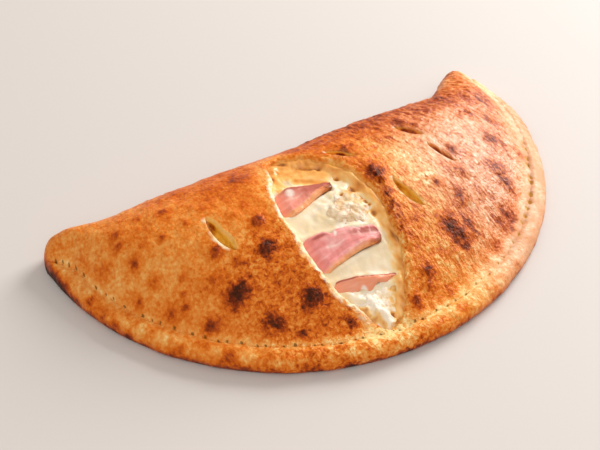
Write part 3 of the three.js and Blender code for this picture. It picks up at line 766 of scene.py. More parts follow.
blur = mix(0.30, 0.38, right) * layered(place / 4.2, 60, 3)
blister = spots(x, y, BLISTERS, blur)
freckle = spots(x, y, freckle_spots, blur)
skin = layered(streak_places(cut, way, 2.0, 6.0), 66, 2)
wrinkles = ridges(streak_places(cut, way, 2.9, 6.0), 8)

bake = 0.42 + 0.07 * layered(place / 21, 61) + 0.08 * layered(place / 5.5, 63)
# the crests of the mesh's wrinkles on the right are paler and their troughs darker: painted light and shade
bake += (0.04 + 0.06 * right) * skin - 0.18 * right * dome * wrinkles
bake += mix(0.56, 0.46, right) * blister + 0.26 * freckle * smooth((c - cut.seam_in) / 10)
for middle_x, middle_y, reach_x, reach_y, browner in PATCHES:
    bake += browner * bell(x, y, middle_x, middle_y, reach_x, reach_y)
print("bake of the ground from", round(float(bake.min()), 2), "to", round(float(bake.max()), 2))

# %% Bake of the dome, the front and the fold
bake -= 0.07 * front
bake += 0.11 * fade(x + 50, 28) * dome - 0.11 * smooth((-x - 20) / 40) * dome
bake += (0.10 + 0.12 * right) * smooth((y - 22) / 25) * dome
bake += 0.10 * smooth((x - 70) / 60) * smooth((14 - np.abs(c - cut.seam_in - 22)) / 14)
bake -= 0.04 * smooth((-x - 108) / 20) * (y > 20)
bake -= 0.09 * smooth((x - 95) / 25) * smooth((y - 42) / 15)
bake -= 0.13 * smooth((x - 110) / 25) * smooth((y - 35) / 25)
# below 7 mm the crust is painted darker: painted shade low down on the rim and the fold
bake += under * (0.26 + 0.1 * layered(place / 12, 75))
bake -= 0.14 * smooth((depth - 3) / 10) * (y > 30) * (1 - flag)
# a paler band outside the tear, wide on its right and at its back and narrow on its left
bake -= 0.09 * (1 - right_lip) * fade(-hole - 0.14, 0.07)
lip_band = np.maximum(0.22 * smooth((np.sin(around) - 0.6) / 0.25), 0.17 * right_lip)
bake -= lip_band * fade(hole + 0.10, 0.11)
print("mean bake of the dome:", round(float(bake[dome > 0.5].mean()), 2))

# %% Bake of the rim and the seam
bake += rim * (mix(0.07, 0.0, right) + mix(0.24, 0.12, right) * layered(place / 4.5, 70) + 0.3 * freckle)
# the top of the rim is painted paler, as light falls on it
bake -= 0.10 * rim * smooth((z - 5.5) / 4)
bake -= 0.24 * seam * (1 - 0.5 * smooth((-x - 60) / 50))
bake -= (0.06 * rim + 0.04 * seam) * far_right
bake += 0.12 * edge * smooth((x - 80) / 30) * smooth((y + 8) / 25)
toward_tip = 0.10 * smooth((-x - 136) / 14) + 0.32 * smooth((-x - 149) / 4)
bake += toward_tip * smooth((14 - c) / 12)
# the foot of the rim is singed in places on the right, and what is not singed is floury and pale
singed = far_right * rim * smooth((6.5 - z) / 3) * smooth(0.3 + 1.3 * layered(place / 5, 71))
bake += 0.34 * singed
pale_edge = far_right * mix(1, 0.3, smooth((y + 5) / 30)) * edge * room * (1 - singed)
pale_edge *= np.clip(0.75 + 0.9 * layered(place / 4, 82), 0, 1)
print("bake from", round(float(bake.min()), 2), "to", round(float(bake.max()), 2))

# %% [markdown]
# ### Crumb and slits
# Where dough tears it shows its crumb, which is pale because no dry heat reached it. The tear shows crumb
# along its left lip. On the right the inside of the lip is amber, because it is moist with cheese and
# oil. A slit has crumb on its near edge, a pale fleck at its back end, and in its depth brown and painted
# shade, which grow darker the deeper it goes.

# %% Crumb and amber in the tear
torn = mix(0.01, 0.13, smooth(0.55 + 0.9 * layered(place / 8, 57)))
torn_band = smooth((hole + torn + 0.03 * blur) / 0.05)
crumb = left_lip * np.maximum(flag * smooth((depth + 0.15) / 0.5), torn_band)
front_left = smooth((-np.sin(around) - 0.72) / 0.2) * left_lip
flecks = smooth((hole + 0.12 + 0.2 * layered(place / 3.2, 83)) / 0.10) * (1 - smooth(blister / 0.3))
crumb = np.maximum(crumb, 0.8 * front_left * flecks)
amber = 0.8 * flag * right_lip * smooth((depth - 1.2) / 2.5)
print("crumb on", int((crumb > 0.5).sum()), "vertices, amber on", int((amber > 0.5).sum()))

# %% Crumb, amber, brown and painted shade in the slits
dark = np.zeros_like(x)
for slit in SLITS:
    across, along = slit_place(slit, x, y)
    end = along / (slit.length / 2)
    here = (np.abs(end) < 1.3) & (np.abs(across) < slit.width / 2 + 5)
    across, end, cut_face = across[here], end[here], flag[here]
    near = -slit.width / 2 * np.clip(1 - end**2, 0, 1) ** 0.75
    beyond = across - near
    lip = smooth((0.9 - beyond) / 0.6) * smooth((beyond + 2.0 + 3.5 * blur[here]) / 0.9)
    lip = lip * smooth((end + 0.5) / 0.25) * smooth((0.85 - end) / 0.2)
    tip = smooth(1.4 - np.hypot(end + 0.98, across / slit.length * 2 + 0.1) / 0.13)
    crumb[here] = np.maximum(slit.pale * lip, 0.75 * tip)
    sunk = smooth((depth[here] - 0.1) / 1.2) * smooth((beyond + 0.2) / 0.8) * cut_face
    amber[here] = slit.gold * np.maximum(sunk, 0.6 * cut_face * smooth(beyond / 1.5) * slit.pale)
    # the sunk walls of the less golden slits are browner: browning and painted shade in the slit
    bake[here] += 0.35 * (1 - slit.gold) * sunk
    brown_from, brown_to, brownest = slit.brown
    browned = smooth((end - brown_from) / 0.3) * smooth((brown_to - end) / 0.3)
    # darker the deeper into the slit: painted shade, darkest along the stretch that browned
    dark[here] = smooth((depth[here] - 0.4) / 1.4) * mix(0.26, brownest, browned)
print("dark in the slits up to", round(float(dark.max()), 2))

# %% What the crust's material reads
scorch = scorched(x, y)
crackled = ridges(streak_places(cut, way, 2.4, 6.0), 79)
bake += scorch * (0.15 + 0.30 * (0.5 - crackled) + 0.08 * layered(place / 3, 81))
bake = mix(bake, 0.30 + 0.2 * layered(place / 3.0, 78), flag * right_lip * smooth((depth - 0.8) / 2))
# wrinkles that run up the dome on the right, and fine crinkles in front, where the skin is thin and dry;
# both raise bumps and also paint their crests paler and their troughs darker, as light and shade
wrinkled = right * dome * (1 + 0.6 * smooth((-y - 5) / 25) - 0.5 * smooth((y - 15) / 20))
crinkled = 0.25 + 0.75 * smooth((x + 110) / 40) * smooth((18 - y) / 30)
prick_number, prick_beside, prick_radius = prick_row(cut, c)
store(crust, {
    "bake": np.clip(bake, 0, 1.1), "crumb": crumb, "amber": amber, "pale_edge": pale_edge,
    "dark": np.clip(dark, 0, 1), "across": np.broadcast_to(cut.s, c.shape) * RIM_LENGTH, "along": way,
    "right": right, "wrinkled": wrinkled + 0.8 * scorch, "crinkled": crinkled * (1 - 0.5 * right),
    "oil": bell(x, y, 92, -12, 46, 40) * (1 - 0.6 * smooth(blister / 0.35)) * dome,
    # rosy: the right side, whose browns are redder and whose pale end is painted pink as sheen
    "rosy": smooth((x - 20) / 60) * (1 - 0.5 * smooth((y - 40) / 20)),
    "prick_number": prick_number, "prick_beside": prick_beside, "prick_size": prick_radius,
})
print("attributes on the crust:", len(crust.data.attributes))

# %% [markdown]
# ## The melted cheese
# Under the crust lies mozzarella that melted and set again. It fills the whole hollow, so the new piece
# follows the same core from tip to tip, with its points packed closely where the tear shows it. A cloth
# or fluid simulation could settle it too, but melted cheese here is a slow skin: a sum of soft swells, a
# rise where it clings to the torn wall, and a few browned folds at the back, where it was pulled up
# against the dough. The ham and the ricotta lie on it, so the table of where they lie comes first.

# %% Where the ham and the ricotta lie
HAM_THICKNESS, HAM_SUNK, RICOTTA_SUNK = 2.4, 1.9, 2.2
# Each slice runs from start to end, and narrows from its width to its tip from the share called taper on.
# Rise is how far it stands out of the cheese, rind the side that has the rind, and warm how orange it is.
# The notch is a place and a depth on the other edge; the frill of that edge is a size, turns and a shift.
# Fat and deep are patches, deep being painted shade: the shares along and across, and their reaches.
HAM = [
    SimpleNamespace(
        name="ham_slice_1", start=(-52, 15), end=(-5.5, 9.5), width=21, tip=7, taper=0.35, rise=1.0, rind=-1,
        rind_width=3.5, notch=(0.4, 0.0), frill=(0.3, 23, 21), warm=0.45, fat=[(0.5, -0.5, 0.045, 0.3)],
        deep=[(0.84, -0.4, 0.24, 0.75), (0.66, -0.95, 0.24, 0.45)]),
    SimpleNamespace(
        name="ham_slice_2", start=(-53, -21), end=(0.5, -28), width=22, tip=11, taper=0.2, rise=1.3, rind=-1,
        rind_width=2.4, notch=(0.525, 2.4), frill=(0.3, 23, 22), warm=0.0, fat=[(0.56, -0.75, 0.02, 0.2)],
        deep=[(0.88, -0.45, 0.2, 0.34), (0.4, -0.8, 0.08, 0.1)]),
    SimpleNamespace(
        name="ham_slice_3", start=(-50, -39.5), end=(-3.0, -51.8), width=7, tip=1.8, taper=0.5, rise=1.9,
        rind=1, rind_width=0.0, notch=(0.57, 0.5), frill=(0.9, 30, 1.24), warm=1.0,
        fat=[(0.57, -1.1, 0.035, 0.6)], deep=[]),
]
# middle, half sizes and seed of each lump, and how much of its right side is toasted
RICOTTA = [
    SimpleNamespace(name="ricotta_1", x=-5.5, y=-7.5, half=(13.0, 14.0, 4.6), seed=3, toasted=0.95),
    SimpleNamespace(name="ricotta_2", x=-21.0, y=-58.0, half=(17.0, 12.0, 4.4), seed=7, toasted=0.1),
]


def ham_line(ham):
    """The start of a slice, its direction and its length."""
    start, end = np.array(ham.start), np.array(ham.end)
    reach = np.linalg.norm(end - start)
    return start, (end - start) / reach, reach


def ham_width(ham, share):
    """The width of a slice, which narrows towards its right end from the share called taper on."""
    return mix(ham.width, ham.tip, smooth((share - ham.taper) / (1 - ham.taper)))


def ham_cover(x, y):
    """1 under the slices of ham, falling over 2 mm at their edges, and 1 in a low bank just outside them."""
    under, beside = np.zeros_like(x), np.zeros_like(x)
    for ham in HAM:
        start, way, reach = ham_line(ham)
        a = (x - start[0]) * way[0] + (y - start[1]) * way[1]
        b = (y - start[1]) * way[0] - (x - start[0]) * way[1]
        inside = np.minimum(ham_width(ham, a / reach) / 2 - np.abs(b), reach - a)
        under = np.maximum(under, smooth((inside - 0.8) / 2))
        beside = np.maximum(beside, fade(inside + 0.6, 1.5))
    return under, beside


print("slices are", [round(float(ham_line(ham)[2])) for ham in HAM], "mm long")

# %% Bubbles, creases and folds of the cheese
# middle in the plan, radius and depth of the bubbles that burst
BUBBLES = [
    (1.4, 13.9, 2.3, 1.5), (3.8, 2.4, 3.2, 1.7), (-4.5, 1.2, 1.5, 1.2), (4.6, -9.6, 1.5, 0.9),
    (5.9, -11.6, 1.3, 0.9), (5.5, -16.4, 2.7, 1.3), (-16.5, -66.3, 1.9, 2.0),
]
# lines in the plan along which the cheese is creased at the back, each with its strength
CREASES = [
    (1.0 / 1.3, [(-22, 45), (-19, 43.5), (-16.5, 41)]),
    (1.0, [(-12, 33), (-7.5, 29), (-3.5, 25.3)]),
]
# the bright fold in front, which starts in the cheese and runs on over the lump of ricotta
FRONT_FOLD = [
    (-38, -46), (-32, -51.5), (-25.2, -55.7), (-22.8, -59), (-22.7, -62.8), (-20.6, -65.4), (-20.5, -71),
]


def bubbles(x, y):
    """1 in the middle of each burst bubble, falling to 0 round it, and its depth there in mm."""
    shares = [smooth(1.3 - np.hypot(x - px, y - py) / radius) for px, py, radius, _ in BUBBLES]
    depths = [share * bubble[3] for share, bubble in zip(shares, BUBBLES)]
    return np.max(shares, axis=0), np.max(depths, axis=0)


def creases(x, y):
    """1 on a crease of the back cheese, fading over 3 mm."""
    shift = 1.2 * layered(on_plan(x, y) / 5, 84)
    return np.max([
        strength * fade(line_distance(x + shift, y + shift, line), 1.5) for strength, line in CREASES
    ], axis=0)


def front_fold(x, y, reach):
    """1 along the bright fold in front, fading with the distance from it."""
    return fade(line_distance(x, y, FRONT_FOLD), reach)


def back_folds(x, y):
    """1 where the cheese is pulled up in folds at the back of the tear, 0 in front of them."""
    return smooth((y + 0.6 * x - 11.0 + 2.5 * layered(on_plan(x, y) / 7, 86)) / 8)


def wall_side(around):
    """1 where the torn wall faces the front left, on the right and at the back, 0 on the left."""
    return np.maximum(smooth((np.cos(around) + 0.2) / 0.9), smooth((np.sin(around) - 0.55) / 0.3))


def spill(x, y, hole):
    """1 at the front left, beyond the fold of the front lump, where cheese and dough ran into each other."""
    beside = smooth((-0.8 * (x + 22) - (y + 60)) / 5) * smooth((-y - 45) / 5)
    return beside * smooth((hole + 0.1) / 0.1)


def near_ricotta(x, y):
    """1 over the lumps of ricotta and in a ragged ring round each, where curds are mixed into the cheese."""
    uneven = 0.35 * layered(on_plan(x, y) / 6, 96)
    return np.max([
        smooth(2.1 - 1.25 * np.hypot((x - lump.x) / lump.half[0], (y - lump.y) / lump.half[1]) + uneven)
        for lump in RICOTTA
    ], axis=0)


print(len(BUBBLES), "burst bubbles and", len(CREASES), "creases")

# %% The cheese surface
CHEESE_FROM, SHOWN_FROM, SHOWN_TO, CHEESE_TO = 0.0358, 0.325, 0.565, 0.9642
CHEESE_ROWS, FLOOR_ROWS = 150, 5


def cheese_relief(x, y):
    """Swells, a bank up the wall, folds at the back and in front, curds, bubbles and a bed for the ham."""
    points = on_plan(x, y)
    hole, around = inside_tear(x, y)
    shown = smooth((hole + 0.02) / 0.1)
    side = wall_side(around)
    wall = smooth((0.2 - hole) / 0.22) ** 1.3 * smooth((hole + mix(0.06, 0.13, side)) / 0.05)
    cling = 3.0 * (1 + 0.5 * layered(points / 6, 97))
    high = wall * mix(0.5, cling, side * smooth((np.cos(around) + 0.5) / 0.6))
    swells = 0.6 * layered(points / 9, 80) + 0.2 * layered(points / 3, 82, 2) - 0.4
    swells += back_folds(x, y) * (1.2 + 0.5 * layered(points / 5, 87) - 0.9 * creases(x, y))
    bank = smooth((0.36 - hole) / 0.2) * side
    swells += bank * (0.45 * layered(points / 3.2, 83) + 0.35 * ridges(points / [3.4, 7, 1], 85))
    curds = 0.7 + 0.7 * layered(points / 3.2, 88) + 0.4 * cobbles(points / 3.4, 89)
    swells += near_ricotta(x, y) * curds + 2.2 * front_fold(x, y, 2.6)
    under, beside = ham_cover(x, y)
    return high + shown * (swells + 0.9 * beside - 1.9 * under - bubbles(x, y)[1])


def cheese_rings():
    """Core sections, most of them across the tear, each from the seal to the back and along the floor."""
    s = np.concatenate([
        np.linspace(CHEESE_FROM, SHOWN_FROM, 34, endpoint=False),
        np.linspace(SHOWN_FROM, SHOWN_TO, 138, endpoint=False),
        np.linspace(SHOWN_TO, CHEESE_TO, 38),
    ])
    plan, z = core_grid(s, GAP, CHEESE_ROWS, FLOOR_ROWS)
    top = plan[:, :CHEESE_ROWS]
    z[:, :CHEESE_ROWS] += cheese_relief(top[..., 0], top[..., 1])
    return raised(plan, z)[:, ::-1]


cheese = closed_skin("melted_mozzarella", cheese_rings())
print("cheese:", len(cheese.data.polygons), "faces")

# %% Browning of the cheese, and painted shade in its creases and above the ham
# a browner line along the upper edge of the first slice of ham: painted shade where it tucks under the cheese
ABOVE_HAM = [(-19, 25), (-12, 20), (-7, 14.5)]
place = vertex_positions(cheese)
x, y = place[:, 0], place[:, 1]
hole, around = inside_tear(x, y)
flat = place * [1, 1, 0.4]
near_crust = smooth((0.16 - hole) / 0.14)
wall_band = smooth((0.34 - hole) / 0.2) * wall_side(around)
# the creases are painted browner too: painted shade in them
folded = 0.62 + 0.10 * near_crust + 0.3 * creases(x, y) + 0.20 * layered(flat / 3.2, 90)
clinging = 0.50 + 0.22 * near_crust + 0.46 * layered(place / [2.4, 7, 4], 92)
spilt = 0.22 + 0.26 * near_crust + 0.6 * layered(place / 3.4, 130)
brown = np.max([
    back_folds(x, y) * folded, wall_band * clinging, spill(x, y, hole) * spilt,
    0.95 * bubbles(x, y)[0], 0.80 * fade(line_distance(x, y, ABOVE_HAM), 3.0) * (hole > 0),
], axis=0)
brown = np.where(hole < -0.08, 0.8, brown * (1 - front_fold(x, y, 3.0)))
cream = 0.5 + 0.45 * layered(flat / 7, 94) + near_ricotta(x, y) * 0.6 * layered(place / 2.6, 98)
store(cheese, {"brown": np.clip(brown, 0, 1), "cream": np.clip(cream, 0, 1)})
print("browned:", round(float((brown[hole > 0] > 0.45).mean() * 100)), "% of the cheese in the tear")

# %% [markdown]
# ## Ham and ricotta
# A slice of cooked ham is a thin wavy strip with a rind along one edge. It could be a sheet with
# thickness added by a modifier; here each slice is a flat, rounded section carried along a line, so that
# its edge can be rounded, notched and frilled by formula. Ricotta is made of curds, so each lump is a
# flattened ball on which the nearest of a few hundred small spheres decides the height of every vertex.

# %% Ham slices
HAM_ROWS, HAM_RING = 120, 72


def ham_rings(ham):
    """A superellipse section, wide and thin, carried along the slice, dipping under the crust on the left."""
    start, way, reach = ham_line(ham)
    share = np.linspace(0, 1, HAM_ROWS)[:, None]
    angle = 2 * np.pi * np.arange(HAM_RING)[None, :] / HAM_RING
    blunt = np.sqrt(1 - 0.8 * np.clip((share - 0.95) / 0.05, 0, 1) ** 2)
    width = ham_width(ham, share) * blunt
    side = np.sign(np.cos(angle)) * np.abs(np.cos(angle)) ** 0.7
    face = np.sign(np.sin(angle)) * np.abs(np.sin(angle)) ** 0.55
    wander = 0.8 * np.sin(share * 7 + ham.width)
    free_edge = np.clip(-side * ham.rind, 0, 1)
    (notch_at, notch_depth), (frill, turns, shift) = ham.notch, ham.frill
    uneven = frill * np.sin(share * turns + shift) * free_edge**3
    uneven = uneven - notch_depth * fade(share - notch_at, 0.045) * free_edge
    b = side * width / 2 + wander - ham.rind * uneven
    a = share * reach + 0 * b
    x = start[0] + way[0] * a - way[1] * b
    y = start[1] + way[1] * a + way[0] * b
    shown = smooth(inside_tear(x, y)[0] / 0.22)
    points = on_plan(x, y)
    wave = (0.5 * np.sin(share * 11 + 2 * side) + 0.45 * layered(points / 5, 100)) * shown
    from_rind = (1 - side * ham.rind) * width / 2
    cord = 0.22 * ham.rind_width * np.sqrt(np.clip(1 - ((from_rind - 1.8) / 2.0) ** 2, 0, 1)) * shown
    middle = crust_height(x, y) - DOUGH - GAP + mix(-HAM_SUNK, ham.rise, shown) + wave
    thick = HAM_THICKNESS / 2 * (1 - 0.25 * np.abs(side) ** 4)
    z = middle + face * thick + cord * (face > 0) + 0.14 * layered(points / 1.6, 102, 2) * shown
    return np.stack([x, y, z], -1), share + 0 * side, side * ham.rind + 0 * share, from_rind + 0 * share


def patches(share, edge, places):
    """1 in the middle of each named patch of a slice, falling to 0 round it."""
    total = np.zeros_like(share)
    for at_share, at_edge, reach_share, reach_edge in places:
        distance = np.hypot((share - at_share) / reach_share, (edge - at_edge) / reach_edge)
        total = np.maximum(total, smooth(1.5 - distance))
    return total


def on_skin(values):
    """Values for the rings of a skin, and the means of its end rings for the two points that close it."""
    return np.concatenate([values.ravel(), values[[0, -1]].mean(1)])


hams = []
for ham in HAM:
    rings, share, edge, from_rind = ham_rings(ham)
    piece = closed_skin(ham.name + "_cooked", rings[:, ::-1])
    deep = patches(share, edge, ham.deep)
    # a slice without a rind gets deep, painted shade, along that edge instead
    if not ham.rind_width:
        deep = np.maximum(deep, smooth((1.3 - from_rind) / 0.6))
    values = {
        "length_share": share, "edge_share": edge, "from_rind": from_rind + 4.0 - ham.rind_width,
        "fat": patches(share, edge, ham.fat), "deep": deep, "warm": ham.warm + 0 * share,
    }
    store(piece, {name: on_skin(grid[:, ::-1]) for name, grid in values.items()})
    hams.append(piece)
print("ham slices:", [len(piece.data.polygons) for piece in hams])

# %% Ricotta lumps
CURD_ROUND, CURD_ROWS = 168, 96


def curd_height(directions, half, seed):
    """Cobbles of 4.2 and 2.1 mm, pushed about by noise so that no curd is round, on uneven ground."""
    points = directions * half
    warped = points + 0.9 * np.stack([layered(points / 3.5, seed + k) for k in (0, 30, 60)], -1)
    high = 0.6 * cobbles(warped / 4.2, seed) + 0.4 * cobbles(warped / 2.1, seed + 1)
    return high - 0.5 + 0.9 * layered(points / 4.0, seed + 90)


def ricotta_rings(lump):
    """A ball flattened to its half sizes and raised by its curds, on ground that slopes as the crust does."""
    polar = (np.pi * (np.arange(CURD_ROWS) + 0.5) / CURD_ROWS)[:, None]
    turn = 2 * np.pi * np.arange(CURD_ROUND)[None, :] / CURD_ROUND
    n = np.stack([np.sin(polar) * np.cos(turn), np.sin(polar) * np.sin(turn), np.cos(polar) + 0 * turn], -1)
    half = np.array(lump.half)
    high = curd_height(n, half, lump.seed)
    reach = half * (1.0 + [0.32, 0.32, 0.1] * layered(n * 1.8, 120 + lump.seed)[..., None])
    x = lump.x + n[..., 0] * (reach[..., 0] + high)
    y = lump.y + n[..., 1] * (reach[..., 1] + high)
    ground = crust_height(np.array(lump.x), np.array(lump.y)) - DOUGH - RICOTTA_SUNK
    slope = 0.75 * (crust_height(x, y) - ground - DOUGH - RICOTTA_SUNK)
    z = ground + n[..., 2] * (reach[..., 2] + high) + slope - bubbles(x, y)[1]
    ran_over = spill(x, y, inside_tear(x, y)[0]) * (1.1 + 1.1 * layered(on_plan(x, y) / 4.2, 134))
    z += (1.9 * front_fold(x, y, 2.7) + ran_over) * smooth(n[..., 2] / 0.4)
    return np.stack([x, y, z], -1)[::-1], high[::-1]


def curd_looks(piece, lump, high):
    """Toast near the crust and in bubbles, and darker pits, with painted shade in the hollows between curds.
    """
    place = vertex_positions(piece)
    x, y = place[:, 0], place[:, 1]
    hole, around = inside_tear(x, y)
    # hollows, where the curds are low, get painted shade in the pits and, near the crust, in the toast
    hollows = np.concatenate([smooth((0.2 - high.ravel()) / 1.0), [0.0, 0.0]])
    toward_crust = smooth((0.62 - hole) / 0.5) * wall_side(around)
    to_right = smooth((x - lump.x) / lump.half[0])
    unfolded = 1 - front_fold(x, y, 2.8)
    uneven = smooth(0.5 + layered(place / 5, 132))
    toast = 0.9 * bubbles(x, y)[0] + (0.6 * hollows + 0.5 * uneven) * toward_crust
    toast += lump.toasted * (0.17 + 0.90 * to_right) * uneven
    spilt = spill(x, y, hole) * (0.20 + 0.26 * smooth((0.16 - hole) / 0.14))
    toast = np.maximum(toast, spilt + 0.55 * (spilt > 0) * layered(place / 3.4, 130)) * unfolded
    speckled = mix(0.6, 1.3, to_right) * smooth(0.5 + 0.9 * layered(place / 2.0, 133))
    pits = (0.8 * hollows * unfolded + lump.toasted * speckled) * unfolded
    return {"toast": np.clip(toast, 0, 1), "pits": np.clip(pits, 0, 1)}


lumps = []
for lump in RICOTTA:
    rings, high = ricotta_rings(lump)
    piece = closed_skin(lump.name + "_curds", rings)
    store(piece, curd_looks(piece, lump, high))
    lumps.append(piece)
print("ricotta lumps:", [len(piece.data.polygons) for piece in lumps])

# %% [markdown]
# ## Materials
# Food looks like food when light gets a little way into it, and when no two neighbouring spots have quite
# the same colour. Each material mixes a few colours of the real thing by the numbers kept on the vertices
# and by noise at real sizes: a noise scale is one divided by the size of its grains in metres. A painted
# texture would hold one fixed pattern; these numbers and noises can be changed and used again.


# %% Helpers for materials
def linear(code):
    """An sRGB hex colour as linear red, green and blue, with alpha 1."""
    parts = np.array([int(code[k:k + 2], 16) for k in (1, 3, 5)]) / 255
    return (*np.where(parts <= 0.04045, parts / 12.92, ((parts + 0.055) / 1.055) ** 2.4), 1.0)


def add(tree, kind, inputs, out=0, stops=None, **settings):
    """Add a node and give back one output. Inputs are linked or set, and stops are the colours of a ramp."""
    made = tree.nodes.new("ShaderNode" + kind)
    for name, value in settings.items():
        setattr(made, name, value)
    for name, value in inputs.items():
        if isinstance(value, bpy.types.NodeSocket):
            tree.links.new(value, made.inputs[name])
        else:
            made.inputs[name].default_value = value
    if stops:
        elements = made.color_ramp.elements
        while len(elements) < len(stops):
            elements.new(0.5)
        for element, (position, code) in zip(elements, stops):
            element.position, element.color = position, linear(code)
    return made.outputs[out] if made.outputs else None


def new_material(name):
    """A material with an empty node tree, and the tree."""
    material = bpy.data.materials.new(name)
    material.use_nodes = True
    material.node_tree.nodes.clear()
    return material, material.node_tree


def dress(piece, material, nodes):
    """Give a piece its material, let it ride on the part's one body and stand for its nodes."""
    piece.data.materials.clear()
    piece.data.materials.append(material)
    piece.data.polygons.foreach_set("material_index", np.zeros(len(piece.data.polygons), dtype=np.int32))
    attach(piece, "root")
    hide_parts(*nodes)


print("a middle gold in linear light:", [round(float(part), 3) for part in linear("#D0610F")[:3]])

# %% [markdown]
# ### Baked dough
# Wheat dough browned in a hot oven has a golden ground, brown and nearly black blisters, and pale crumb
# where it tore; a film of oil gives it a soft shine. One ramp from nearly raw to charred turns the bake
# into colour, and noise of about 2 to 4 mm shifts the bake first, so that the browning is uneven as it is
# in an oven. The wrinkle and crinkle noises among them also paint light and shade: paler on the crests
# of the bumps they raise, darker in the troughs. A second ramp is rosier, for the right side, whose brown
# is redder and whose pale end is painted pink, as sheen.

# %% Patterns of the dough
baked_dough, tree = new_material("baked_wheat_dough")
at = add(tree, "TexCoord", {}, out="Object")
value = {
    name: add(tree, "Attribute", {}, out="Fac", attribute_name=name)
    for name in (
        "bake", "crumb", "amber", "pale_edge", "dark", "across", "along", "right", "wrinkled", "crinkled",
        "oil", "rosy", "prick_number", "prick_beside", "prick_size",
    )
}
# wrinkles are 1.6 mm wide and 3.6 mm long, along the sections
WRINKLE_WIDTH, WRINKLE_LENGTH = 1.6, 3.6
grain = add(tree, "TexNoise", {"Vector": at, "Scale": 500.0, "Detail": 2.0, "Roughness": 0.5})
flake = add(tree, "TexNoise", {
    "Vector": at, "Scale": 340.0, "Detail": 1.0, "Roughness": 0.5, "Distortion": 0.5,
}, noise_type="RIDGED_MULTIFRACTAL")
mottle = add(tree, "TexNoise", {"Vector": at, "Scale": 270.0, "Detail": 4.0, "Roughness": 0.66})
crinkle = add(tree, "TexNoise", {
    "Vector": at, "Scale": 360.0, "Detail": 3.0, "Roughness": 0.6, "Distortion": 0.8,
})
wrinkle_place = add(tree, "CombineXYZ", {
    "X": add(tree, "Math", {0: value["across"], 1: 1 / WRINKLE_WIDTH}, operation="MULTIPLY"),
    "Y": add(tree, "Math", {0: value["along"], 1: 1 / WRINKLE_LENGTH}, operation="MULTIPLY"),
})
wrinkle = add(tree, "TexNoise", {"Vector": wrinkle_place, "Scale": 1.0, "Detail": 3.0, "Roughness": 0.6})
print("attributes read by the dough:", len(value))

# %% Colours of the dough
# wrinkle and crinkle paint light and shade: paler on the crests of their bumps, darker in the troughs
wrinkle_painted_light_reach = add(tree, "Math", {0: value["wrinkled"], 1: -0.5, 2: -0.2}, operation="MULTIPLY_ADD")
crinkle_painted_light_reach = add(tree, "Math", {0: value["crinkled"], 1: -1.1}, operation="MULTIPLY")
tone = value["bake"]
for source, reach in ((grain, 0.40), (mottle, 0.32), (wrinkle, wrinkle_painted_light_reach), (crinkle, crinkle_painted_light_reach)):
    shift = add(tree, "Math", {0: source, 1: 0.5}, operation="SUBTRACT")
    tone = add(tree, "Math", {0: shift, 1: reach, 2: tone}, operation="MULTIPLY_ADD")
colour = add(tree, "ValToRGB", {"Fac": tone}, stops=[
    (0.0, "#F8D894"), (0.2, "#EDA453"), (0.38, "#E17D29"), (0.52, "#D0610F"),
    (0.66, "#A8430E"), (0.82, "#702407"), (1.0, "#3A1106"),
])
# a rosier ramp for the right: redder browns, and a pink pale end that is painted sheen
rosy_colour = add(tree, "ValToRGB", {"Fac": tone}, stops=[
    (0.0, "#F5CFB4"), (0.2, "#EBB08C"), (0.38, "#DF8C5A"), (0.52, "#C46430"),
    (0.66, "#9E3E1A"), (0.82, "#6A2412"), (1.0, "#3A1106"),
])
crumb_colour = add(tree, "ValToRGB", {"Fac": mottle}, stops=[
    (0.34, "#E5AE6C"), (0.46, "#F1CE9A"), (0.62, "#F9E7C8"),
])
amber_tone = add(tree, "Math", {0: mottle, 1: 0.6, 2: 0.55}, operation="MULTIPLY_ADD")
# dark, the painted shade and browning in the slits, darkens the amber
amber_tone = add(tree, "Math", {0: amber_tone, 1: value["dark"]}, operation="SUBTRACT")
amber_colour = add(tree, "ValToRGB", {"Fac": amber_tone}, stops=[
    (0.0, "#5A1404"), (0.22, "#943806"), (0.45, "#D08414"), (0.68, "#EDB23C"), (0.9, "#F6CC78"),
])
# each coat covers the ones before it by its share times its strength; floury dough stays a dusty tan
coats = (
    ("rosy", 0.9, rosy_colour), ("pale_edge", 0.9, linear("#C9936A")), ("amber", 1.0, amber_colour),
    ("crumb", 1.0, crumb_colour),
)
for name, strength, other in coats:
    share = add(tree, "Math", {0: value[name], 1: strength}, operation="MULTIPLY")
    colour = add(tree, "Mix", {0: share, 6: colour, 7: other}, out=2, data_type="RGBA")
print("coats of colour on the dough:", [name for name, *_ in coats])

# %% Pricks, relief and shine of the dough
# the distance from the nearest prick, in shares of its radius
step = add(tree, "Math", {0: value["prick_number"], 1: 0.5}, operation="ADD")
step = add(tree, "Math", {0: add(tree, "Math", {0: step}, operation="FRACT"), 1: 0.5}, operation="SUBTRACT")
from_prick = add(tree, "VectorMath", {0: add(tree, "CombineXYZ", {
    "X": add(tree, "Math", {0: step, 1: PRICK_STEP}, operation="MULTIPLY"), "Y": value["prick_beside"],
})}, out="Value", operation="LENGTH")
prick = add(tree, "MapRange", {
    "Value": add(tree, "Math", {0: from_prick, 1: value["prick_size"]}, operation="DIVIDE"),
    "From Min": 0.7, "From Max": 1.3, "To Min": 1.0, "To Max": 0.0,
}, interpolation_type="SMOOTHSTEP")
# a prick is a small shaded pit: deep brown on the left and lighter on the right
prick_colour = add(tree, "Mix", {
    0: value["right"], 6: linear("#7A4E14"), 7: linear("#C08A28"),
}, out=2, data_type="RGBA")
prick_share = add(tree, "Math", {0: prick, 1: 0.8}, operation="MULTIPLY")
colour = add(tree, "Mix", {0: prick_share, 6: colour, 7: prick_colour}, out=2, data_type="RGBA")

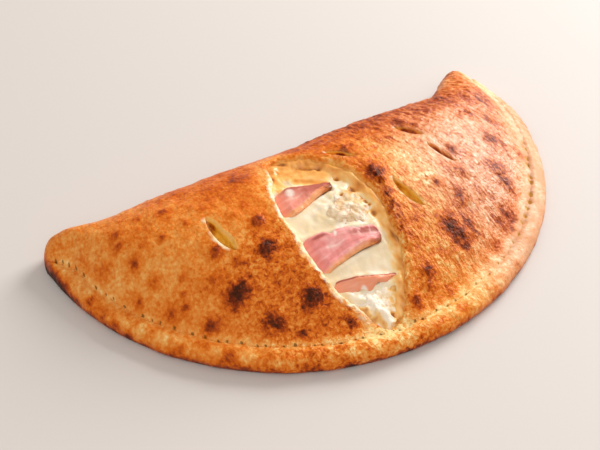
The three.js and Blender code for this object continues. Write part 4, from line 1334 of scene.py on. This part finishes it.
relief = add(tree, "Math", {0: flake, 1: grain}, operation="ADD")
prick_relief = add(tree, "Math", {0: value["right"], 1: 1.1, 2: -1.5}, operation="MULTIPLY_ADD")
heights = (
    (wrinkle, add(tree, "Math", {0: value["wrinkled"], 1: 0.5}, operation="ADD")),
    (crinkle, add(tree, "Math", {0: value["crinkled"], 1: 2.0}, operation="MULTIPLY")),
    (prick, prick_relief),
)
for source, height in heights:
    relief = add(tree, "Math", {0: source, 1: height, 2: relief}, operation="MULTIPLY_ADD")
strength = add(tree, "Math", {0: value["wrinkled"], 1: 0.35, 2: 0.55}, operation="MULTIPLY_ADD")
strength = add(tree, "Math", {0: value["pale_edge"], 1: -0.4, 2: strength}, operation="MULTIPLY_ADD")
bump = add(tree, "Bump", {"Strength": strength, "Distance": 0.0008, "Height": relief})

# browned dough is rougher than golden dough, and floury dough is the roughest
roughness = add(tree, "MapRange", {
    "Value": value["bake"], "From Min": 0.3, "From Max": 0.9, "To Min": 0.32, "To Max": 0.50,
})
roughness = add(tree, "Math", {0: value["pale_edge"], 1: 0.25, 2: roughness}, operation="MULTIPLY_ADD")
surface = add(tree, "BsdfPrincipled", {
    "Base Color": colour, "Roughness": roughness, "Normal": bump,
    "IOR": 1.45, "Specular IOR Level": 0.27, "Specular Tint": linear("#FFD0A0"),
    "Coat Weight": value["oil"], "Coat Normal": bump, "Coat Roughness": 0.26,
})
add(tree, "OutputMaterial", {"Surface": surface})
dress(crust, baked_dough, ["crust"])
print("nodes in the dough's material:", len(tree.nodes))

# %% [markdown]
# ### Melted mozzarella
# Stretched curd that melted and set is milky and a little translucent, and golden where the heat caught
# its folds. A ramp of creams gives the milk, a ramp of golds the browning, and light that travels a few
# millimetres under the surface gives the softness, which a plain glossy white would not have.

# %% Melted mozzarella
melted_cheese, tree = new_material("melted_mozzarella_cheese")
at = add(tree, "TexCoord", {}, out="Object")
brown = add(tree, "Attribute", {}, out="Fac", attribute_name="brown")
cream = add(tree, "Attribute", {}, out="Fac", attribute_name="cream")
cloud = add(tree, "TexNoise", {"Vector": at, "Scale": 260.0, "Detail": 3.0, "Roughness": 0.55})
milk = add(tree, "ValToRGB", {"Fac": cream}, stops=[(0.1, "#EBD0A0"), (0.5, "#F1DDBA"), (0.9, "#F8EAD4")])
toasted = add(tree, "ValToRGB", {"Fac": brown}, stops=[
    (0.1, "#F6DEB2"), (0.3, "#FAD292"), (0.45, "#FAC272"), (0.62, "#F4AE58"), (0.82, "#DC8C34"),
    (1.0, "#9C5812"),
])
toast_share = add(tree, "MapRange", {"Value": brown, "From Max": 0.35})
surface = add(tree, "BsdfPrincipled", {
    "Base Color": add(tree, "Mix", {0: toast_share, 6: milk, 7: toasted}, out=2, data_type="RGBA"),
    "Normal": add(tree, "Bump", {"Strength": 0.35, "Distance": 0.0006, "Height": cloud}), "Roughness": 0.34,
    "Subsurface Weight": 0.25, "Subsurface Radius": (1.0, 0.7, 0.4), "Subsurface Scale": 0.003,
})
add(tree, "OutputMaterial", {"Surface": surface})
dress(cheese, melted_cheese, ["cheese_filling"])
print("nodes in the cheese's material:", len(tree.nodes))

# %% [markdown]
# ### Cooked ham
# Cured pork has pink lean with paler streaks that run along the slice, a white patch of fat and an orange
# rind. Patches towards the right end and the upper edge are painted deeper red, as shade where the slice
# folds and tucks under the cheese. The streaks are noise stretched along the slice, and each of the other
# parts is a coat of its own colour, laid where the numbers on the vertices say.

# %% Cooked ham
cooked_ham, tree = new_material("cooked_ham")
at = add(tree, "TexCoord", {}, out="Object")
value = {
    name: add(tree, "Attribute", {}, out="Fac", attribute_name=name)
    for name in ("length_share", "edge_share", "from_rind", "fat", "deep", "warm")
}
streak_at = add(tree, "CombineXYZ", {
    "X": add(tree, "Math", {0: value["length_share"], 1: 3.2}, operation="MULTIPLY"),
    "Y": add(tree, "Math", {0: value["edge_share"], 1: 2.4}, operation="MULTIPLY"),
})
streak = add(tree, "TexNoise", {"Vector": streak_at, "Scale": 1.0, "Detail": 3.0, "Distortion": 0.8})
fine = add(tree, "TexNoise", {"Vector": at, "Scale": 480.0, "Detail": 3.0})
colour = add(tree, "ValToRGB", {"Fac": streak}, stops=[
    (0.3, "#DE7C70"), (0.45, "#EA908A"), (0.58, "#F0A49C"), (0.72, "#F6C4B8"),
])
# the rind has a ragged inner edge and is darker towards the right end
ragged = add(tree, "Math", {0: fine, 1: 1.6, 2: value["from_rind"]}, operation="MULTIPLY_ADD")
rind_share = add(tree, "MapRange", {
    "Value": ragged, "From Min": 3.0, "From Max": 5.2, "To Min": 1.0, "To Max": 0.0,
})
rind_end = add(tree, "MapRange", {"Value": value["length_share"], "From Min": 0.80, "From Max": 0.97})
rind_tone = add(tree, "Math", {0: rind_end, 1: -0.8, 2: 0.35}, operation="MULTIPLY_ADD")
rind_tone = add(tree, "Math", {0: rind_tone, 1: fine}, operation="ADD")
rind_colour = add(tree, "ValToRGB", {"Fac": rind_tone}, stops=[
    (0.0, "#74380E"), (0.3, "#B8602A"), (0.55, "#E5884C"), (0.9, "#F0A872"),
])
# deep is painted shade towards the right end and the upper edge of each slice
coats = (
    (value["warm"], 0.75, linear("#EA9058")), (value["deep"], 0.8, linear("#A03A24")),
    (value["fat"], 0.85, linear("#FBEBDD")), (rind_share, 1.0, rind_colour),
)
for source, strength, other in coats:
    share = add(tree, "Math", {0: source, 1: strength}, operation="MULTIPLY")
    colour = add(tree, "Mix", {0: share, 6: colour, 7: other}, out=2, data_type="RGBA")
surface = add(tree, "BsdfPrincipled", {
    "Base Color": colour, "Roughness": 0.36,
    "Normal": add(tree, "Bump", {"Strength": 0.3, "Distance": 0.0004, "Height": fine}),
    "Subsurface Weight": 0.15, "Subsurface Radius": (1.0, 0.4, 0.3), "Subsurface Scale": 0.002,
})
add(tree, "OutputMaterial", {"Surface": surface})
for piece, ham in zip(hams, HAM):
    dress(piece, cooked_ham, [ham.name])
print("nodes in the ham's material:", len(tree.nodes))

# %% [markdown]
# ### Ricotta
# Fresh whey cheese is bright white and moist, and gold where it met the hot crust. The crumbs are real
# relief in the mesh, and the hollows between them are painted a darker tan as shade, with toasted specks,
# most on the right of the first lump. So the material needs the white, the painted shade and the toasting.

# %% Ricotta
ricotta, tree = new_material("fresh_ricotta_curd")
at = add(tree, "TexCoord", {}, out="Object")
toast = add(tree, "Attribute", {}, out="Fac", attribute_name="toast")
pits = add(tree, "Attribute", {}, out="Fac", attribute_name="pits")
fine = add(tree, "TexNoise", {"Vector": at, "Scale": 700.0, "Detail": 3.0})
# pits mix in a darker tan: painted shade in the hollows, and toasted specks
curd = add(tree, "Mix", {0: pits, 6: linear("#F6E8D4"), 7: linear("#D2A374")}, out=2, data_type="RGBA")
toasted = add(tree, "ValToRGB", {"Fac": toast}, stops=[
    (0.1, "#F6DCA8"), (0.4, "#F0BC6C"), (0.65, "#D9964A"), (1.0, "#A8661E"),
])
toast_share = add(tree, "MapRange", {"Value": toast, "From Max": 0.4})
surface = add(tree, "BsdfPrincipled", {
    "Base Color": add(tree, "Mix", {0: toast_share, 6: curd, 7: toasted}, out=2, data_type="RGBA"),
    "Normal": add(tree, "Bump", {"Strength": 0.5, "Distance": 0.0005, "Height": fine}), "Roughness": 0.5,
    "Subsurface Weight": 0.2, "Subsurface Radius": (1.0, 0.8, 0.6), "Subsurface Scale": 0.002,
})
add(tree, "OutputMaterial", {"Surface": surface})
for piece, lump in zip(lumps, RICOTTA):
    dress(piece, ricotta, [lump.name])
print("nodes in the ricotta's material:", len(tree.nodes))

# %% [markdown]
# ## Table, light and camera
# The calzone lies on a plain pale table. A large soft light behind it to the right skims the dome and
# draws its shine, a weaker one fills from the front left, and the sky is bright, as it is in a white
# room.

# %% Table
bpy.ops.mesh.primitive_grid_add(x_subdivisions=2, y_subdivisions=2, size=6)
table = bpy.context.object
table.name = "pale_table"
pale_table, tree = new_material("matt_painted_table")
surface = add(tree, "BsdfPrincipled", {"Base Color": linear("#D0C8C2"), "Roughness": 0.7})
add(tree, "OutputMaterial", {"Surface": surface})
table.data.materials.append(pale_table)
print("table:", round(table.dimensions.x, 1), "m wide")

# %% Lights
def soft_light(name, direction, distance, size, power):
    """A square soft light that faces the calzone from a direction."""
    lamp = bpy.data.lights.new(name, "AREA")
    lamp.shape, lamp.size, lamp.energy = "SQUARE", size, power
    holder = bpy.data.objects.new(name, lamp)
    toward = Vector(direction).normalized()
    holder.location = toward * distance
    holder.rotation_mode = "QUATERNION"
    holder.rotation_quaternion = toward.to_track_quat("Z", "Y")
    bpy.context.scene.collection.objects.link(holder)


soft_light("window", (0.85, 0.24, 0.46), 1.6, 0.8, 32)
soft_light("fill", (-0.35, -0.5, 0.8), 1.8, 1.2, 9)
world = bpy.data.worlds.new("white_room")
world.use_nodes = True
world.node_tree.nodes["Background"].inputs["Color"].default_value = linear("#FFFAF4")
world.node_tree.nodes["Background"].inputs["Strength"].default_value = 0.55
bpy.context.scene.world = world
bpy.context.scene.view_settings.view_transform = "Standard"
print("lamps:", [lamp.name for lamp in bpy.data.lights])

# %% Camera
CAMERA_AIM, CAMERA_DISTANCE = Vector((-12.8, 29.6, 0.0)) * MM, 0.843
CAMERA_AZIMUTH, CAMERA_ELEVATION = np.radians(-33.464), np.radians(43.553)
lens = bpy.data.cameras.new("camera")
lens.lens, lens.sensor_width = 87.0, 36.0
camera = bpy.data.objects.new("camera", lens)
back = Vector((
    np.sin(CAMERA_AZIMUTH) * np.cos(CAMERA_ELEVATION),
    -np.cos(CAMERA_AZIMUTH) * np.cos(CAMERA_ELEVATION),
    np.sin(CAMERA_ELEVATION),
))
camera.location = CAMERA_AIM + back * CAMERA_DISTANCE
camera.rotation_mode = "QUATERNION"
camera.rotation_quaternion = (-back).to_track_quat("-Z", "Y")
bpy.context.scene.collection.objects.link(camera)
bpy.context.scene.camera = camera
print("camera at", [round(part, 3) for part in camera.location])
